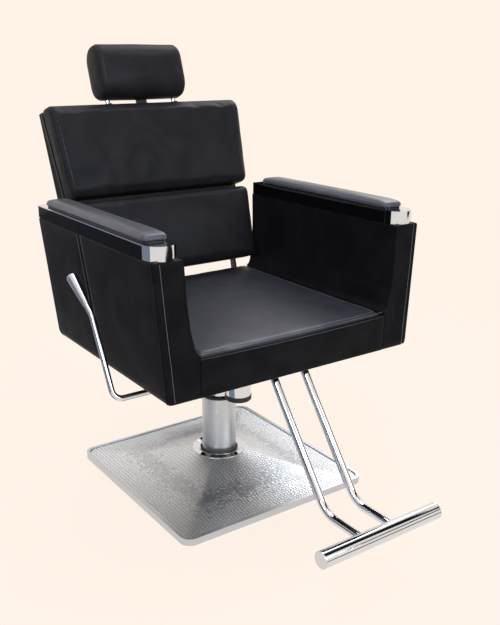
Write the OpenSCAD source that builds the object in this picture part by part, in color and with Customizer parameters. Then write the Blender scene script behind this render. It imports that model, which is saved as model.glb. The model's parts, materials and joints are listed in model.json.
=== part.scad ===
// Reclining salon chair for threading and shaving, on a square hydraulic base.
// Z is up, the sitter faces -Y, and the origin is on the floor under the column.

/* [Base] */
// Side of the square base
base_side = 500; // [420:5:600]
// Corner radius of the base
base_corner_r = 26; // [12:1:50]
// Height of the bright rim
rim_h = 16; // [12:1:26]
// Width of the rim seen from above
rim_w = 8; // [5:0.5:16]
// Thickness of the steel base plate
plate_t = 8; // [6:0.5:10]
// Thickness of the pressed cover
cover_t = 2; // [1.5:0.1:4]
// Rise of the cover from the rim to the collar
cover_rise = 46; // [30:1:70]
// Outer radius of the collar ring
collar_r = 65; // [58:1:80]
// Height of the collar ring
collar_h = 7; // [4:0.5:12]

/* [Column and lift] */
// Radius of the column tube
column_r = 41; // [38:0.5:50]
// Height of the top of the column tube
column_top_z = 200; // [180:1:215]
// Wall of the column tube
column_wall = 2.8; // [2:0.1:4]
// Radius of the polished ram
ram_r = 35; // [30:0.5:35.5]
// Travel of the lift
lift_travel = 130; // [80:1:135]

/* [Seat] */
// Height of the lower edge of the seat box
tub_z = 352; // [340:1:360]
// Thickness of the seat cushion at its edge
seat_pad_t = 32; // [24:1:50]
// Crown of the seat cushion
seat_crown = 5; // [0:0.5:10]
// Half the width of the seat between the feet of the arms
seat_half_w = 238; // [215:1:262]
// Reach of the seat in front of the column, at the arms
seat_front = 294; // [280:1:310]
// How far the seat's front bows out at its middle
front_bow = 7; // [0:0.5:16]
// Reach of the seat behind the column
seat_back = 226; // [210:1:232]
// Thickness of the front rail
rail_t = 23; // [18:1:34]

/* [Arms] */
// Height of the top of the arm panels
arm_top_z = 627; // [560:1:680]
// How far the inner faces of the arms flare out above the seat
arm_flare = 29; // [10:1:40]
// Thickness of an arm panel at its top
arm_t = 64; // [60:1:90]
// How far the outer face leans in from top to bottom
arm_lean = 21; // [0:1:32]
// Reach of the arm panels in front of the column, at the top
arm_front = 286; // [270:1:300]
// Reach of the arm panels behind the column, at the top
arm_back = 241; // [225:1:270]
// Width of the armrest block
rest_w = 63; // [50:1:66]
// Height of the armrest block
rest_h = 25; // [15:1:40]
// Thickness of the bright end band
band_t = 1.5; // [1:0.1:3]
// Straight length of the end band on each side
band_len = 5; // [2:1:50]
// Thickness of the bright top plate
rest_plate_t = 2.5; // [1.5:0.1:5]
// Width of the arm pad
arm_pad_w = 54; // [40:1:60]
// Thickness of the arm pad
arm_pad_t = 17; // [14:1:35]

/* [Backrest] */
// Lean of the upright backrest
back_lean = 19; // [12:0.5:24]
// Height of the lower cushion
lower_h = 183; // [150:1:200]
// Height of the upper cushion
upper_h = 220; // [180:1:260]
// Gap between the two back cushions
cushion_gap = 13; // [8:1:25]
// Gap between the foot of the back cushions and the tops of the arms
back_side_gap = 35; // [14:1:50]
// Thickness of the back cushions
back_pad_t = 58; // [50:1:95]
// Flare of the back's sides outwards, in degrees
back_flare = 4.3; // [0:0.1:6]
// Crown of the back cushions
back_crown = 7; // [0:0.5:14]
// How far the back shell stands in from the sides of the back cushions
shell_side_gap = 3; // [2:0.5:45]
// Depth of the back shell behind its board, at its top
shell_top_t = 8; // [6:0.5:25]
// Depth of the back shell behind its board, at its bottom
shell_bottom_t = 52; // [30:1:80]
// Furthest recline of the backrest, in degrees
recline_max = 45; // [20:1:50]

/* [Headrest] */
// Half the width of the headrest
head_half_w = 116; // [90:1:150]
// Height of the headrest
head_h = 134; // [90:1:160]
// Thickness of the headrest
head_t = 82; // [60:1:100]
// Gap between the headrest and the backrest when it is down
head_gap = 11; // [6:1:40]
// Distance between the two posts
post_spacing = 184; // [120:1:200]
// Radius of the headrest posts
post_r = 6; // [4:0.5:7]
// Travel of the headrest
head_travel = 80; // [40:1:90]

/* [Footrest] */
// Distance from the column to the footrest bar
foot_reach = 553; // [480:1:620]
// Height of the footrest bar
foot_z = 108; // [90:1:160]
// Length of the footrest bar
foot_bar_len = 302; // [220:1:400]
// Radius of the footrest bar
foot_bar_r = 17; // [13:0.5:22]
// Radius of the footrest tubes
foot_tube_r = 9; // [7:0.5:12]
// Distance between the footrest tubes
foot_tube_spacing = 80; // [50:1:140]
// Length of the level stretch of the footrest tubes
foot_level = 112; // [70:1:140]

/* [Pump lever] */
// Radius of the lever rod
lever_r = 6; // [5:0.5:8]
// Gap between the lever and the outer face of the arm
lever_side_gap = 29; // [15:1:45]
// Height of the lever's shaft
lever_z = 334.5; // [328:0.5:338]
// Distance of the lever's shaft in front of the column
lever_y = 170; // [150:1:185]
// Radius of the grip at its free end
grip_r = 12; // [9:0.5:16]
// Length of the grip
grip_len = 80; // [70:1:120]
// Swing of the lever in degrees
lever_swing = 20; // [10:1:24]

/* [Pump] */
// Radius of the pump cylinder
pump_r = 29.5; // [24:0.5:31]
// Distance from the column to the pump cylinder
pump_y = 80; // [76:0.5:90]
// Height of the lower end of the pump cap
pump_cap_z = 217; // [212:1:240]
// Height of the pump cap
pump_cap_h = 12; // [8:1:20]

/* [Hidden] */

// Facets of fine round parts and of blended ones
round_fn = 96;
rod_fn = 48;
// Overrun of cuts, seam between upholstered pieces, running fit and light gap
over = 1;
seam = 0.3;
fit = 0.05;
play = 0.3;
// A bend is a hair thinner than its rod and runs a degree into it at each end
elbow_over = 1;
elbow_step = 0.02;

// Heights in the seat, from the lower edge of the box upwards
head_rise = 10;
head_top_z = tub_z + head_rise;
mount_t = 8;
mount_top_z = head_top_z + mount_t;
frame_side = 25;
frame_wall = 2;
frame_top_z = mount_top_z + frame_side;
board_t = 12;
board_top_z = frame_top_z + board_t;
seat_top_z = board_top_z + seat_pad_t;

// Base
cover_gap = 0.6;
cover_sunk = 2;
cover_edge_z = rim_h - cover_sunk;
cover_top_z = cover_edge_z + cover_rise;
cover_half = base_side / 2 - rim_w - cover_gap;
cover_curve_share = 1.9;
cover_rise_fn = 11;
cover_fn = 56;
collar_bore_gap = 5;
collar_lip = 1.5;
grommet_drop = 4;
flange_r = 62;
flange_t = 8;
flange_bolt_r = 52;
bolt_r = 5;
bolt_head_r = 8.5;
bolt_head_h = 6;
seal_h = 5;
seal_proud = 1;
ram_wall = 4;
ram_engage = 46;
ram_low_z = column_top_z - lift_travel - ram_engage;
piston_h = 20;
piston_gap = 2;
bush_len = ram_engage - piston_h - piston_gap;
ram_socket = 22;
washer_t = 4;

// Pump head
hub_r = 47;
hub_len = 108;
hub_low_z = head_top_z - hub_len;
boss_r = 35;
boss_low_drop = 100;
boss_top_drop = 60;
boss_low_z = head_top_z - boss_low_drop;
boss_top_z = head_top_z - boss_top_drop;
ram_top_z = head_top_z - ram_socket;
head_plate_t = 10;
head_plate_half_w = 85;
head_plate_front = 46;
head_plate_back = 80;
lug_in = 18;
lug_t = 9;
lug_r = 15;
head_bolt_x = 68;
head_bolt_y_front = 30;
head_bolt_y_back = 62;
plunger_r = 11;
plunger_head_r = 15;
plunger_head_h = 6;
plunger_low = 60;
cylinder_wall = 3;
cap_proud = 1.2;
cap_lip = 2;

// Lever, seen from the side: how far each bend lies from the shaft
grip_rise = 212.5;
grip_run = 170;
grip_foot_share = 0.55;
grip_tip_share = 0.45;
bend_1_run = 82;
bend_1_rise = 152;
bend_1_r = 26;
bend_2_r = 20;
shaft_over = 5;
rocker_t = 14;
rocker_hub_r = 12;
roller_r = 9;
rocker_len = (lever_y - pump_y) / cos(lever_swing / 2);
rocker_tip_z = lever_z + rocker_len * sin(lever_swing / 2);
plunger_top_z = rocker_tip_z - roller_r - play;

// Seat structure
mount_half_w = 172;
mount_front = 140;
mount_back = 150;
frame_x = 160;
rail_corner_r = 3;
rear_rail_t = 22;
rear_rail_back = 218;
frame_front = seat_front - rail_t;
frame_rear = rear_rail_back - rear_rail_t;
seat_edge_r = 9;
seat_corner_r = 12;
seat_pull = 1;

// Arms
arm_in = seat_half_w + arm_flare;
arm_draft_front = 9;
arm_draft_back = 27;
arm_corner_r = 10;
arm_in_r = 3;
arm_edge_r = 5;
arm_foot_r = 14;
flare_rise_shares = [0, 0.02, 0.06, 0.14, 0.28, 0.57];
flare_shares = [0, 0.2, 0.35, 0.45, 0.66, 0.86];
rest_back = 235;
rest_front = 283;
rest_x = arm_in + arm_t / 2 - over;
rest_r = rest_w / 2;
rest_straight = rest_front - rest_r;
pad_base_t = 2;
pad_base_inset = 4;
pad_front = 248;
pad_back = 212;
pad_corner_r = 16;
pad_edge_share = 0.5;
pad_crown_share = 0.25;
pad_pull = 1;
pad_z = arm_top_z + rest_h + rest_plate_t + pad_base_t;
lever_x = arm_in + arm_t + lever_side_gap;

// Backrest frame of reference: foot of its front face
back_half_w = arm_in - back_side_gap;
shell_half_w = back_half_w - shell_side_gap;
back_y = 164.5;
back_z = 478;
upper_s = lower_h + cushion_gap;
back_top_s = upper_s + upper_h;
cushion_top_r = 30;
cushion_bottom_r = 14;
cushion_end_r = 7;
shell_front = back_pad_t + play;
panel_t = 8;
shell_low_s = 4;
shell_low_rise = 25;
shell_inset = 8;
shell_wall = 3;
bar_w = 6;
bar_t = 20;
bar_top_t = 7;
bar_front = shell_front + panel_t + play;
bar_top_drop = 60;
bar_x = back_half_w - shell_side_gap - shell_wall - play - bar_w / 2;
cross_r = 8;
cross_s = -29;

// Recline hinge and gas spring
pivot_y = 250;
pivot_z = 390;
hinge_s = (pivot_y - back_y) * sin(back_lean) + (pivot_z - back_z) * cos(back_lean);
hinge_t = (pivot_y - back_y) * cos(back_lean) - (pivot_z - back_z) * sin(back_lean);
pin_r = 6;
knuckle_r = 13;
knuckle_w = 14;
fork_t = 5;
fork_gap = 0.3;
bracket_t = 5;
bracket_in = 40;
bracket_low = 36;
bracket_high = 4;
hinge_bolt_x = 27;
hinge_bolt_in = 9;
hinge_bolt_r = 6;
hinge_bolt_h = 4;
pin_head_r = 9;
pin_head_h = 4;
crank_x = 95;
crank_t = 8;
crank_r = 9;
crank_len = 40;
crank_pin_r = 4;
eye_play = 2.2;
eye_wall = 4;
eye_t = 9;
gas_r = 9.5;
gas_rod_r = 4;
gas_x = crank_x + crank_t / 2 + eye_t / 2 + fork_gap * 4;
gas_z = pivot_z - crank_len * (1 + cos(recline_max / 2)) / 2;
gas_front = 60;
gas_back = 214;
gas_bore_front = 100;
gas_hole_gap = 2;
gas_rod_in = 136;
valve_r = 3;
valve_len = 8;
clamp_wall = 3;
bracket_len = 22;
crank_rest_y = pivot_y + crank_len * sin(recline_max / 2);
crank_rest_z = pivot_z - crank_len * cos(recline_max / 2);

// Release lever of the gas spring
release_r = 4;
release_y = 44;
release_drop = 9;
release_z = tub_z - release_drop;
release_in = 92;
release_over = 5;
release_out = arm_in + arm_t + release_over;
knob_w = 16;
knob_r = 6;
knob_len = 58;
finger_w = 10;
finger_r = 5;
release_arm = 15;
release_x1 = 135;
lug_side_gap = 16;
release_x2 = seat_half_w - lug_side_gap;
release_lug_t = 6;

// Headrest
head_s = back_top_s + head_gap;
post_depth = 45;
post_x = post_spacing / 2;
post_engage = 32;
post_low_s = back_top_s - head_travel - post_engage;
post_in_head = 44;
post_top_s = head_s + post_in_head;
sleeve_wall = 2;
sleeve_len = 74;
sleeve_flange_r = 11;
sleeve_flange_t = 2;
ratchet_w = 28;
ratchet_t = 5;
guide_wall = 3;
head_edge_r = 36;
head_end_r = 7;

// Footrest
foot_plate_half_w = 66;
foot_plate_back = 205;
foot_plate_t = 8;
foot_top_z = mount_top_z - foot_plate_t;
foot_top_y = 247;
foot_bend_r = 60;
foot_cap_t = 3;
foot_cap_r_in = 1;

function unit(v) = v / norm(v);
function lerp(a, b, k) = a + (b - a) * k;
function back_point(s, t) = [back_y + s * sin(back_lean) + t * cos(back_lean),
                             back_z + s * cos(back_lean) - t * sin(back_lean)];

// Half the width of the back at a height above its foot
function back_half(s) = back_half_w + s * tan(back_flare);

// Distance from the middle to the edge of a rounded square, in direction a
function square_reach(a, half, r) =
    let (c = abs(cos(a)), s = abs(sin(a)), q = half - r, hi = max(c, s), lo = min(c, s))
    lo / hi <= q / half ? half / hi : q * (c + s) + sqrt(pow(q * (c + s), 2) - 2 * q * q + r * r);

// Points round a rounded rectangle, from x0 to x1 and y0 to y1, drawn in between its corners by pull;
// the corners at x0 have the radius r_in
function corner_points(x0, x1, y0, y1, r, pull, r_in, n = 4, m = 3) =
    let (cx = (x0 + x1) / 2, cy = (y0 + y1) / 2, hx = (x1 - x0) / 2, hy = (y1 - y0) / 2,
        rs = [r, r_in, r_in, r],
        xs = [x1 - r, x0 + r_in, x0 + r_in, x1 - r], ys = [y1 - r, y1 - r_in, y0 + r_in, y0 + r],
        raw = [for (q = [0:3]) let (a0 = 90 * q, w = (q + 1) % 4,
                p0 = [xs[q] + rs[q] * cos(a0 + 90), ys[q] + rs[q] * sin(a0 + 90)],
                p1 = [xs[w] + rs[w] * cos(a0 + 90), ys[w] + rs[w] * sin(a0 + 90)])
                each concat([for (i = [0:n]) [xs[q] + rs[q] * cos(a0 + 90 * i / n),
                    ys[q] + rs[q] * sin(a0 + 90 * i / n)]],
                            [for (j = [1:m]) lerp(p0, p1, j / (m + 1))])])
    [for (p = raw) let (u = (p[0] - cx) / hx, v = (p[1] - cy) / hy)
        [cx + (p[0] - cx) * (1 - pull / hx * (1 - v * v)),
            cy + (p[1] - cy) * (1 - pull / hy * (1 - u * u))]];

// Bows the front of an outline out towards its middle, fading to nothing at y = still
function bowed(p, still) = [p[0], p[1] - front_bow * (1 - pow(p[0] / seat_half_w, 2)) * max(0,
    (still - p[1]) / (still + seat_front))];

// A closed skin over a list of rings with equal counts of points, capped at both ends
module skin(rings) {
    n = len(rings);
    m = len(rings[0]);
    ones = [for (p = rings[0]) 1];
    points = concat([for (ring = rings) each ring], [ones * rings[0] / m, ones * rings[n - 1] / m]);
    sides = [for (i = [0:n - 2], j = [0:m - 1]) let (k = (j + 1) % m)
        each [[i * m + j, (i + 1) * m + j, (i + 1) * m + k], [i * m + j, (i + 1) * m + k, i * m + k]]];
    caps = [for (j = [0:m - 1]) let (k = (j + 1) % m)
        each [[n * m, j, k], [n * m + 1, (n - 1) * m + k, (n - 1) * m + j]]];
    polyhedron(points, concat(sides, caps), convexity = 6);
}

// A padded block that stands on its flat foot: rounded edges, drawn-in sides and a crowned top
module crowned_block(x0, x1, y0, y1, z0, h, r, edge, crown, pull, bow_share = 0) {
    side_shares = [0, 0.5];
    crown_shares = [0.82, 0.6, 0.36, 0.14];
    rise_shares = [0.34, 0.66, 0.88, 1];
    cx = (x0 + x1) / 2;
    cy = (y0 + y1) / 2;
    function ring(e, grow, z) = let (q = max(r - e, edge / 4))
        [for (p = corner_points(x0 + e, x1 - e, y0 + e, y1 - e, q, pull, q))
            let (g = [cx + (p[0] - cx) * grow, cy + (p[1] - cy) * grow], b = bowed(g, 0)) [g[0],
                lerp(g[1], b[1], bow_share), z]];
    skin(concat([for (k = side_shares) ring(0, 1, z0 + k * (h - edge))],
        [for (a = [0:30:90]) ring(edge * (1 - cos(a)), 1, z0 + h - edge * (1 - sin(a)))],
        [for (i = [0:3]) ring(edge, crown_shares[i], z0 + h + crown * rise_shares[i])]));
}

// Side outline of a cushion: depth (0 is the front) and height, rounded at the front corners
function cushion_outline(h, t, r_top, r_low, r_back, crown) =
    let (raw = concat(
        [for (a = [0:30:90]) [t - r_back + r_back * cos(a), h - r_back + r_back * sin(a)]],
        [for (a = [90:18:180]) [r_top + r_top * cos(a), h - r_top + r_top * sin(a)]],
        [for (k = [1:4]) [0, lerp(h - r_top, r_low, k / 5)]],
        [for (a = [180:22.5:270]) [r_low + r_low * cos(a), r_low + r_low * sin(a)]],
        [for (a = [270:30:360]) [t - r_back + r_back * cos(a), r_back + r_back * sin(a)]]))
    [for (p = raw) let (v = 2 * p[1] / h - 1) [p[0] - crown * (1 - v * v) * (1 - p[0] / t), p[1]]];

// A cushion whose outline runs across the chair, with rounded ends and a crown that fades towards them;
// half_w is half its width at its foot and top_half at its top
module end_capped_cushion(half_w, top_half, h, t, r_top, r_low, r_back, end_r, crown) {
    end_shares = [0, 0.3, 0.7, 1];
    span_shares = [0.16:0.17:0.85];
    centre = [t / 2, h / 2];
    left = [for (k = end_shares) [-half_w + end_r * k, end_r * (1 - sqrt(k * (2 - k)))]];
    middle = [for (k = span_shares) [lerp(-half_w + end_r, half_w - end_r, k), 0]];
    right = [for (i = [3:-1:0]) [-left[i][0], left[i][1]]];
    skin([for (q = concat(left, middle, right)) let (u = q[0] / half_w, fade = crown * (1 - pow(u, 4)),
        e = q[1])
        [for (p = cushion_outline(h, t, r_top, r_low, r_back, fade))
            let (z = centre[1] + (p[1] - centre[1]) * (1 - 2 * e / h))
            [u * lerp(half_w, top_half, z / h), centre[0] + (p[0] - centre[0]) * (1 - 2 * e / t), z]]]);
}

// A round rod from a to b
module rod(a, b, r) {
    d = b - a;
    translate(a) rotate([0, acos(d[2] / norm(d)), atan2(d[1], d[0])]) cylinder(h = norm(d), r = r,
        $fn = rod_fn);
}

// A bend of a round rod at point v, between the points before and after it
module elbow(before, v, after, bend, r) {
    d1 = unit(v - before);
    d2 = unit(after - v);
    turn = acos(d1 * d2);
    z = unit(cross(d1, d2));
    n = cross(z, d1);
    start = v - d1 * bend * tan(turn / 2);
    c = start + n * bend;
    multmatrix([[-n[0], d1[0], z[0], c[0]], [-n[1], d1[1], z[1], c[1]], [-n[2], d1[2], z[2], c[2]],
        [0, 0, 0, 1]])
        rotate([0, 0, -elbow_over]) rotate_extrude(angle = turn + 2 * elbow_over, $fn = round_fn)
            translate([bend, 0]) circle(r - elbow_step, $fn = rod_fn);
}

// A bent round rod through a list of points, with a bend radius for each inner point
module bent_rod(points, bends, r) {
    n = len(points);
    back = [for (i = [0:n - 1]) (i == 0 || i == n - 1) ? 0
        : bends[i - 1] * tan(acos(unit(points[i] - points[i - 1]) * unit(points[i + 1] - points[i])) / 2)];
    for (i = [0:n - 2]) {
        d = unit(points[i + 1] - points[i]);
        rod(points[i] + d * back[i], points[i + 1] - d * back[i + 1], r);
    }
    for (i = [1:n - 2]) elbow(points[i - 1], points[i], points[i + 1], bends[i - 1], r);
}

module rounded_plate(w, d, r) {
    square([w - 2 * r, d], center = true);
    square([w, d - 2 * r], center = true);
    for (sx = [-1, 1], sy = [-1, 1]) translate([sx * (w / 2 - r), sy * (d / 2 - r)]) circle(r,
        $fn = rod_fn);
}

module hex_bolt(r, h) {
    cylinder(h = h, r = r, $fn = 6);
}

module tube_z(r_out, r_in, z0, z1) {
    translate([0, 0, z0]) difference() {
        cylinder(h = z1 - z0, r = r_out, $fn = round_fn);
        translate([0, 0, -over]) cylinder(h = z1 - z0 + 2 * over, r = r_in, $fn = round_fn);
    }
}

module along_x(x0, x1, y, z, r) {
    translate([x0, y, z]) rotate([0, 90, 0]) cylinder(h = x1 - x0, r = r, $fn = rod_fn);
}

module block(x0, x1, y0, y1, z0, z1) {
    translate([x0, y0, z0]) cube([x1 - x0, y1 - y0, z1 - z0]);
}

// A side outline in Y and Z, carried across the chair from x0 to x1
module across(x0, x1) {
    translate([x0, 0, 0]) rotate([90, 0, 90]) linear_extrude(height = x1 - x0) children();
}

module back_place() {
    translate([0, back_y, back_z]) rotate([-back_lean, 0, 0]) children();
}

// Base

module base_plate() {
    inner = base_side - 2 * rim_w;
    color("dimgray") linear_extrude(height = plate_t) rounded_plate(inner, inner, base_corner_r - rim_w);
}

module base_rim() {
    inner = base_side - 2 * rim_w;
    color("silver") linear_extrude(height = rim_h) difference() {
        rounded_plate(base_side, base_side, base_corner_r);
        rounded_plate(inner, inner, base_corner_r - rim_w);
    }
}

// The pressed sheet goes from a rounded square at the rim to a circle at the collar, rising as a
// power of the way in
function cover_ring(k, inward, drop) = [for (j = [0:cover_fn - 1]) let (a = 360 * j / cover_fn,
        edge = square_reach(a, cover_half, base_corner_r - rim_w) - inward, reach = lerp(edge, collar_r, k))
        [reach * cos(a), reach * sin(a), cover_edge_z - drop + cover_rise * pow(k, cover_curve_share)]];

module base_cover() {
    hole = column_r + collar_bore_gap + play;
    flat_top = [for (j = [0:cover_fn - 1]) let (a = 360 * j / cover_fn) [hole * cos(a), hole * sin(a),
        cover_top_z]];
    flat_under = [for (p = flat_top) [p[0], p[1], p[2] - cover_t]];
    skirt = [for (p = cover_ring(0, 0, 0)) [p[0], p[1], plate_t]];
    skirt_in = [for (p = cover_ring(0, cover_t, 0)) [p[0], p[1], plate_t]];
    rings = concat([skirt], [for (i = [0:cover_rise_fn]) cover_ring(i / cover_rise_fn, 0, 0)],
        [flat_top, flat_under],
        [for (i = [cover_rise_fn:-1:0]) cover_ring(i / cover_rise_fn, cover_t, cover_t)], [skirt_in]);
    n = len(rings);
    m = cover_fn;
    color("lightgray") polyhedron([for (ring = rings) each ring], [for (i = [0:n - 1], j = [0:m - 1])
        let (k = (j + 1) % m, w = (i + 1) % n)
        each [[i * m + j, w * m + j, w * m + k], [i * m + j, w * m + k, i * m + k]]], convexity = 8);
}

module collar_ring() {
    hole = column_r + collar_bore_gap;
    color("silver") translate([0, 0, cover_top_z]) rotate_extrude($fn = round_fn) polygon([
        [hole, 0], [collar_r, 0], [collar_r, collar_lip], [collar_r - collar_h, collar_h],
        [collar_r - collar_h - collar_lip, collar_h], [hole, collar_lip]]);
}

module column_grommet() {
    color("black") tube_z(column_r + collar_bore_gap, column_r, cover_top_z - grommet_drop,
        cover_top_z + collar_lip);
}

module column_flange() {
    color("dimgray") translate([0, 0, plate_t]) difference() {
        cylinder(h = flange_t, r = flange_r, $fn = round_fn);
        for (a = [45:90:315]) rotate([0, 0, a]) translate([flange_bolt_r, 0, -over])
            cylinder(h = flange_t + 2 * over, r = bolt_r, $fn = rod_fn);
    }
}

module base_bolts() {
    color("gray") for (a = [45:90:315]) rotate([0, 0, a]) translate([flange_bolt_r, 0, plate_t]) {
        cylinder(h = flange_t, r = bolt_r, $fn = rod_fn);
        translate([0, 0, flange_t]) hex_bolt(bolt_head_r, bolt_head_h);
    }
}

module column_tube() {
    color("silver") tube_z(column_r, column_r - column_wall, plate_t + flange_t, column_top_z);
}

module column_seal() {
    color("black") tube_z(column_r + seal_proud, ram_r + play, column_top_z, column_top_z + seal_h);
}

module guide_bush() {
    color("khaki") tube_z(column_r - column_wall, ram_r + fit, column_top_z - bush_len, column_top_z);
}

// Lift

module ram() {
    color("gainsboro") tube_z(ram_r, ram_r - ram_wall, ram_low_z, ram_top_z - washer_t);
}

module ram_piston() {
    color("black") tube_z(column_r - column_wall - fit, ram_r, ram_low_z, ram_low_z + piston_h);
}

module thrust_washer() {
    color("khaki") tube_z(ram_r - play, ram_r - ram_wall, ram_top_z - washer_t, ram_top_z - fit);
}

// Pump under the seat

module pump_head() {
    color("dimgray") difference() {
        union() {
            translate([0, 0, hub_low_z]) cylinder(h = head_top_z - hub_low_z, r = hub_r, $fn = round_fn);
            translate([0, -pump_y, boss_low_z]) cylinder(h = boss_top_z - boss_low_z, r = boss_r,
                $fn = round_fn);
            block(-boss_r, boss_r, -pump_y, 0, boss_low_z, boss_top_z);
            block(-head_plate_half_w, head_plate_half_w, -head_plate_front, head_plate_back,
                head_top_z - head_plate_t, head_top_z);
            for (s = [-1, 1]) across(s > 0 ? lug_in : -lug_in - lug_t, s > 0 ? lug_in + lug_t
                : -lug_in) union() {
                translate([-lever_y, lever_z]) circle(lug_r, $fn = rod_fn);
                polygon([[-lever_y, lever_z + lug_r], [-head_plate_front, head_top_z], [0, head_top_z],
                    [0, boss_low_z], [-pump_y, boss_low_z], [-lever_y, lever_z - lug_r]]);
            }
        }
        translate([0, 0, hub_low_z - over]) cylinder(h = ram_top_z - hub_low_z + over, r = ram_r + fit,
            $fn = round_fn);
        translate([0, -pump_y, boss_low_z - over])
            cylinder(h = boss_top_z - boss_low_z - cylinder_wall + over, r = pump_r, $fn = round_fn);
        translate([0, -pump_y, boss_low_z]) cylinder(h = boss_top_z - boss_low_z + over,
            r = plunger_r + fit, $fn = rod_fn);
        block(-lug_in, lug_in, -lever_y - lug_r - over, -hub_r - over, boss_top_z, head_top_z + over);
        along_x(-lug_in - lug_t - over, lug_in + lug_t + over, -lever_y, lever_z, lever_r + fit);
        for (sx = [-1, 1], y = [-head_bolt_y_front, head_bolt_y_back])
            translate([sx * head_bolt_x, y, head_top_z - head_plate_t - over])
            cylinder(h = head_plate_t + 2 * over, r = bolt_r, $fn = rod_fn);
    }
}

module pump_cylinder() {
    color("silver") translate([0, -pump_y, 0]) difference() {
        translate([0, 0, pump_cap_z + pump_cap_h])
            cylinder(h = boss_top_z - cylinder_wall - pump_cap_z - pump_cap_h, r = pump_r, $fn = round_fn);
        translate([0, 0, pump_cap_z + pump_cap_h + cylinder_wall])
            cylinder(h = boss_top_z - pump_cap_z, r = pump_r - cylinder_wall, $fn = round_fn);
    }
}

module pump_cap() {
    color("black") translate([0, -pump_y, pump_cap_z]) rotate_extrude($fn = round_fn) polygon([
        [0, 0], [pump_r + cap_proud - cap_lip, 0], [pump_r + cap_proud, cap_lip],
            [pump_r + cap_proud, pump_cap_h], [0, pump_cap_h]]);
}

module head_bolts() {
    color("gray") for (sx = [-1, 1], y = [-head_bolt_y_front, head_bolt_y_back])
        translate([sx * head_bolt_x, y, head_top_z - head_plate_t]) {
            cylinder(h = head_plate_t, r = bolt_r, $fn = rod_fn);
            translate([0, 0, -bolt_head_h]) hex_bolt(bolt_head_r, bolt_head_h);
        }
}

module pump_plunger() {
    color("silver") translate([0, -pump_y, 0]) {
        translate([0, 0, plunger_top_z - plunger_head_h]) cylinder(h = plunger_head_h,
            r = plunger_head_r, $fn = rod_fn);
        translate([0, 0, plunger_top_z - plunger_low]) cylinder(h = plunger_low - plunger_head_h,
            r = plunger_r, $fn = rod_fn);
    }
}

// Seat structure

module mounting_plate() {
    color("dimgray") block(-mount_half_w, mount_half_w, -mount_front, mount_back, head_top_z, mount_top_z);
}

module seat_frame() {
    color("dimgray") for (s = [-1, 1]) {
        across_y = s > 0 ? frame_rear - frame_side : -frame_front;
        difference() {
            block(-seat_half_w, seat_half_w, across_y, across_y + frame_side, mount_top_z, frame_top_z);
            block(-seat_half_w - over, seat_half_w + over, across_y + frame_wall,
                across_y + frame_side - frame_wall,
                mount_top_z + frame_wall, frame_top_z - frame_wall);
        }
        difference() {
            block(s * frame_x - frame_side / 2, s * frame_x + frame_side / 2, -frame_front + frame_side,
                frame_rear - frame_side, mount_top_z, frame_top_z);
            block(s * frame_x - frame_side / 2 + frame_wall, s * frame_x + frame_side / 2 - frame_wall,
                -frame_front + frame_side - over, frame_rear - frame_side + over,
                    mount_top_z + frame_wall, frame_top_z - frame_wall);
        }
    }
}

module seat_board() {
    color("burlywood") block(-seat_half_w + seam, seat_half_w - seam, -frame_front, frame_rear,
        frame_top_z, board_top_z);
}

module seat_cushion() {
    color([0.11, 0.11, 0.13]) crowned_block(-seat_half_w + seam, seat_half_w - seam, -seat_front, seat_back,
        board_top_z, seat_pad_t, seat_corner_r, seat_edge_r, seat_crown, seat_pull, 1);
}

module front_rail() {
    color([0.09, 0.09, 0.11]) skin([for (k = [0, 0.5, 1])
        [for (p = corner_points(-seat_half_w, seat_half_w, -seat_front, -frame_front, rail_corner_r, 0,
            rail_corner_r))
            [p[0], lerp(p[1], bowed(p, -frame_front)[1], k), lerp(tub_z, board_top_z, k)]]]);
}

module rear_rail() {
    color([0.09, 0.09, 0.11]) difference() {
        block(-seat_half_w, seat_half_w, rear_rail_back - rear_rail_t, rear_rail_back, tub_z, board_top_z);
        translate([gas_x, rear_rail_back - rear_rail_t - over, gas_z]) rotate([-90, 0, 0])
            cylinder(h = rear_rail_t + 2 * over, r = gas_r + gas_hole_gap, $fn = rod_fn);
    }
}

// Arms: an upholstered panel, rounded at its heel, whose inner face flares out from the seat
module arm_panel() {
    function ring(z, x_in, e_in, e_out, e_front, e_back) = let (k = (z - tub_z) / (arm_top_z - tub_z))
        [for (p = corner_points(x_in + e_in, arm_in + arm_t - arm_lean * (1 - k) - e_out,
            -arm_front - arm_draft_front * (1 - k) + e_front, arm_back - arm_draft_back * (1 - k) - e_back,
            arm_corner_r, 0, arm_in_r)) [p[0], p[1], z]];
    skin(concat(
        [for (a = [90:-30:0]) let (e = arm_foot_r * (1 - cos(a)))
            ring(tub_z + arm_foot_r * (1 - sin(a)), seat_half_w, 0, arm_edge_r * (1 - cos(a)),
                arm_edge_r * (1 - cos(a)), e)],
        [for (i = [0:5]) ring(lerp(seat_top_z, arm_top_z, flare_rise_shares[i]),
            lerp(seat_half_w, arm_in, flare_shares[i]), 0, 0, 0, 0)],
        [for (a = [0:45:90]) let (e = arm_edge_r * (1 - cos(a)))
            ring(arm_top_z - arm_edge_r * (1 - sin(a)), arm_in, e, e, e, e)]));
}

module rest_outline(grow) {
    translate([rest_x - rest_r - grow, -rest_straight]) square([rest_w + 2 * grow,
        rest_straight + rest_back + grow]);
    translate([rest_x, -rest_straight]) circle(rest_r + grow, $fn = round_fn);
}

module arm_block() {
    translate([0, 0, arm_top_z]) linear_extrude(height = rest_h) difference() {
        rest_outline(0);
        band_outline();
    }
}

module band_outline() {
    intersection() {
        difference() {
            rest_outline(over);
            rest_outline(-band_t);
        }
        translate([rest_x - rest_w, -rest_front - over]) square([2 * rest_w, rest_r + over + band_len]);
    }
}

module arm_band() {
    translate([0, 0, arm_top_z]) linear_extrude(height = rest_h) intersection() {
        rest_outline(0);
        band_outline();
    }
}

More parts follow.
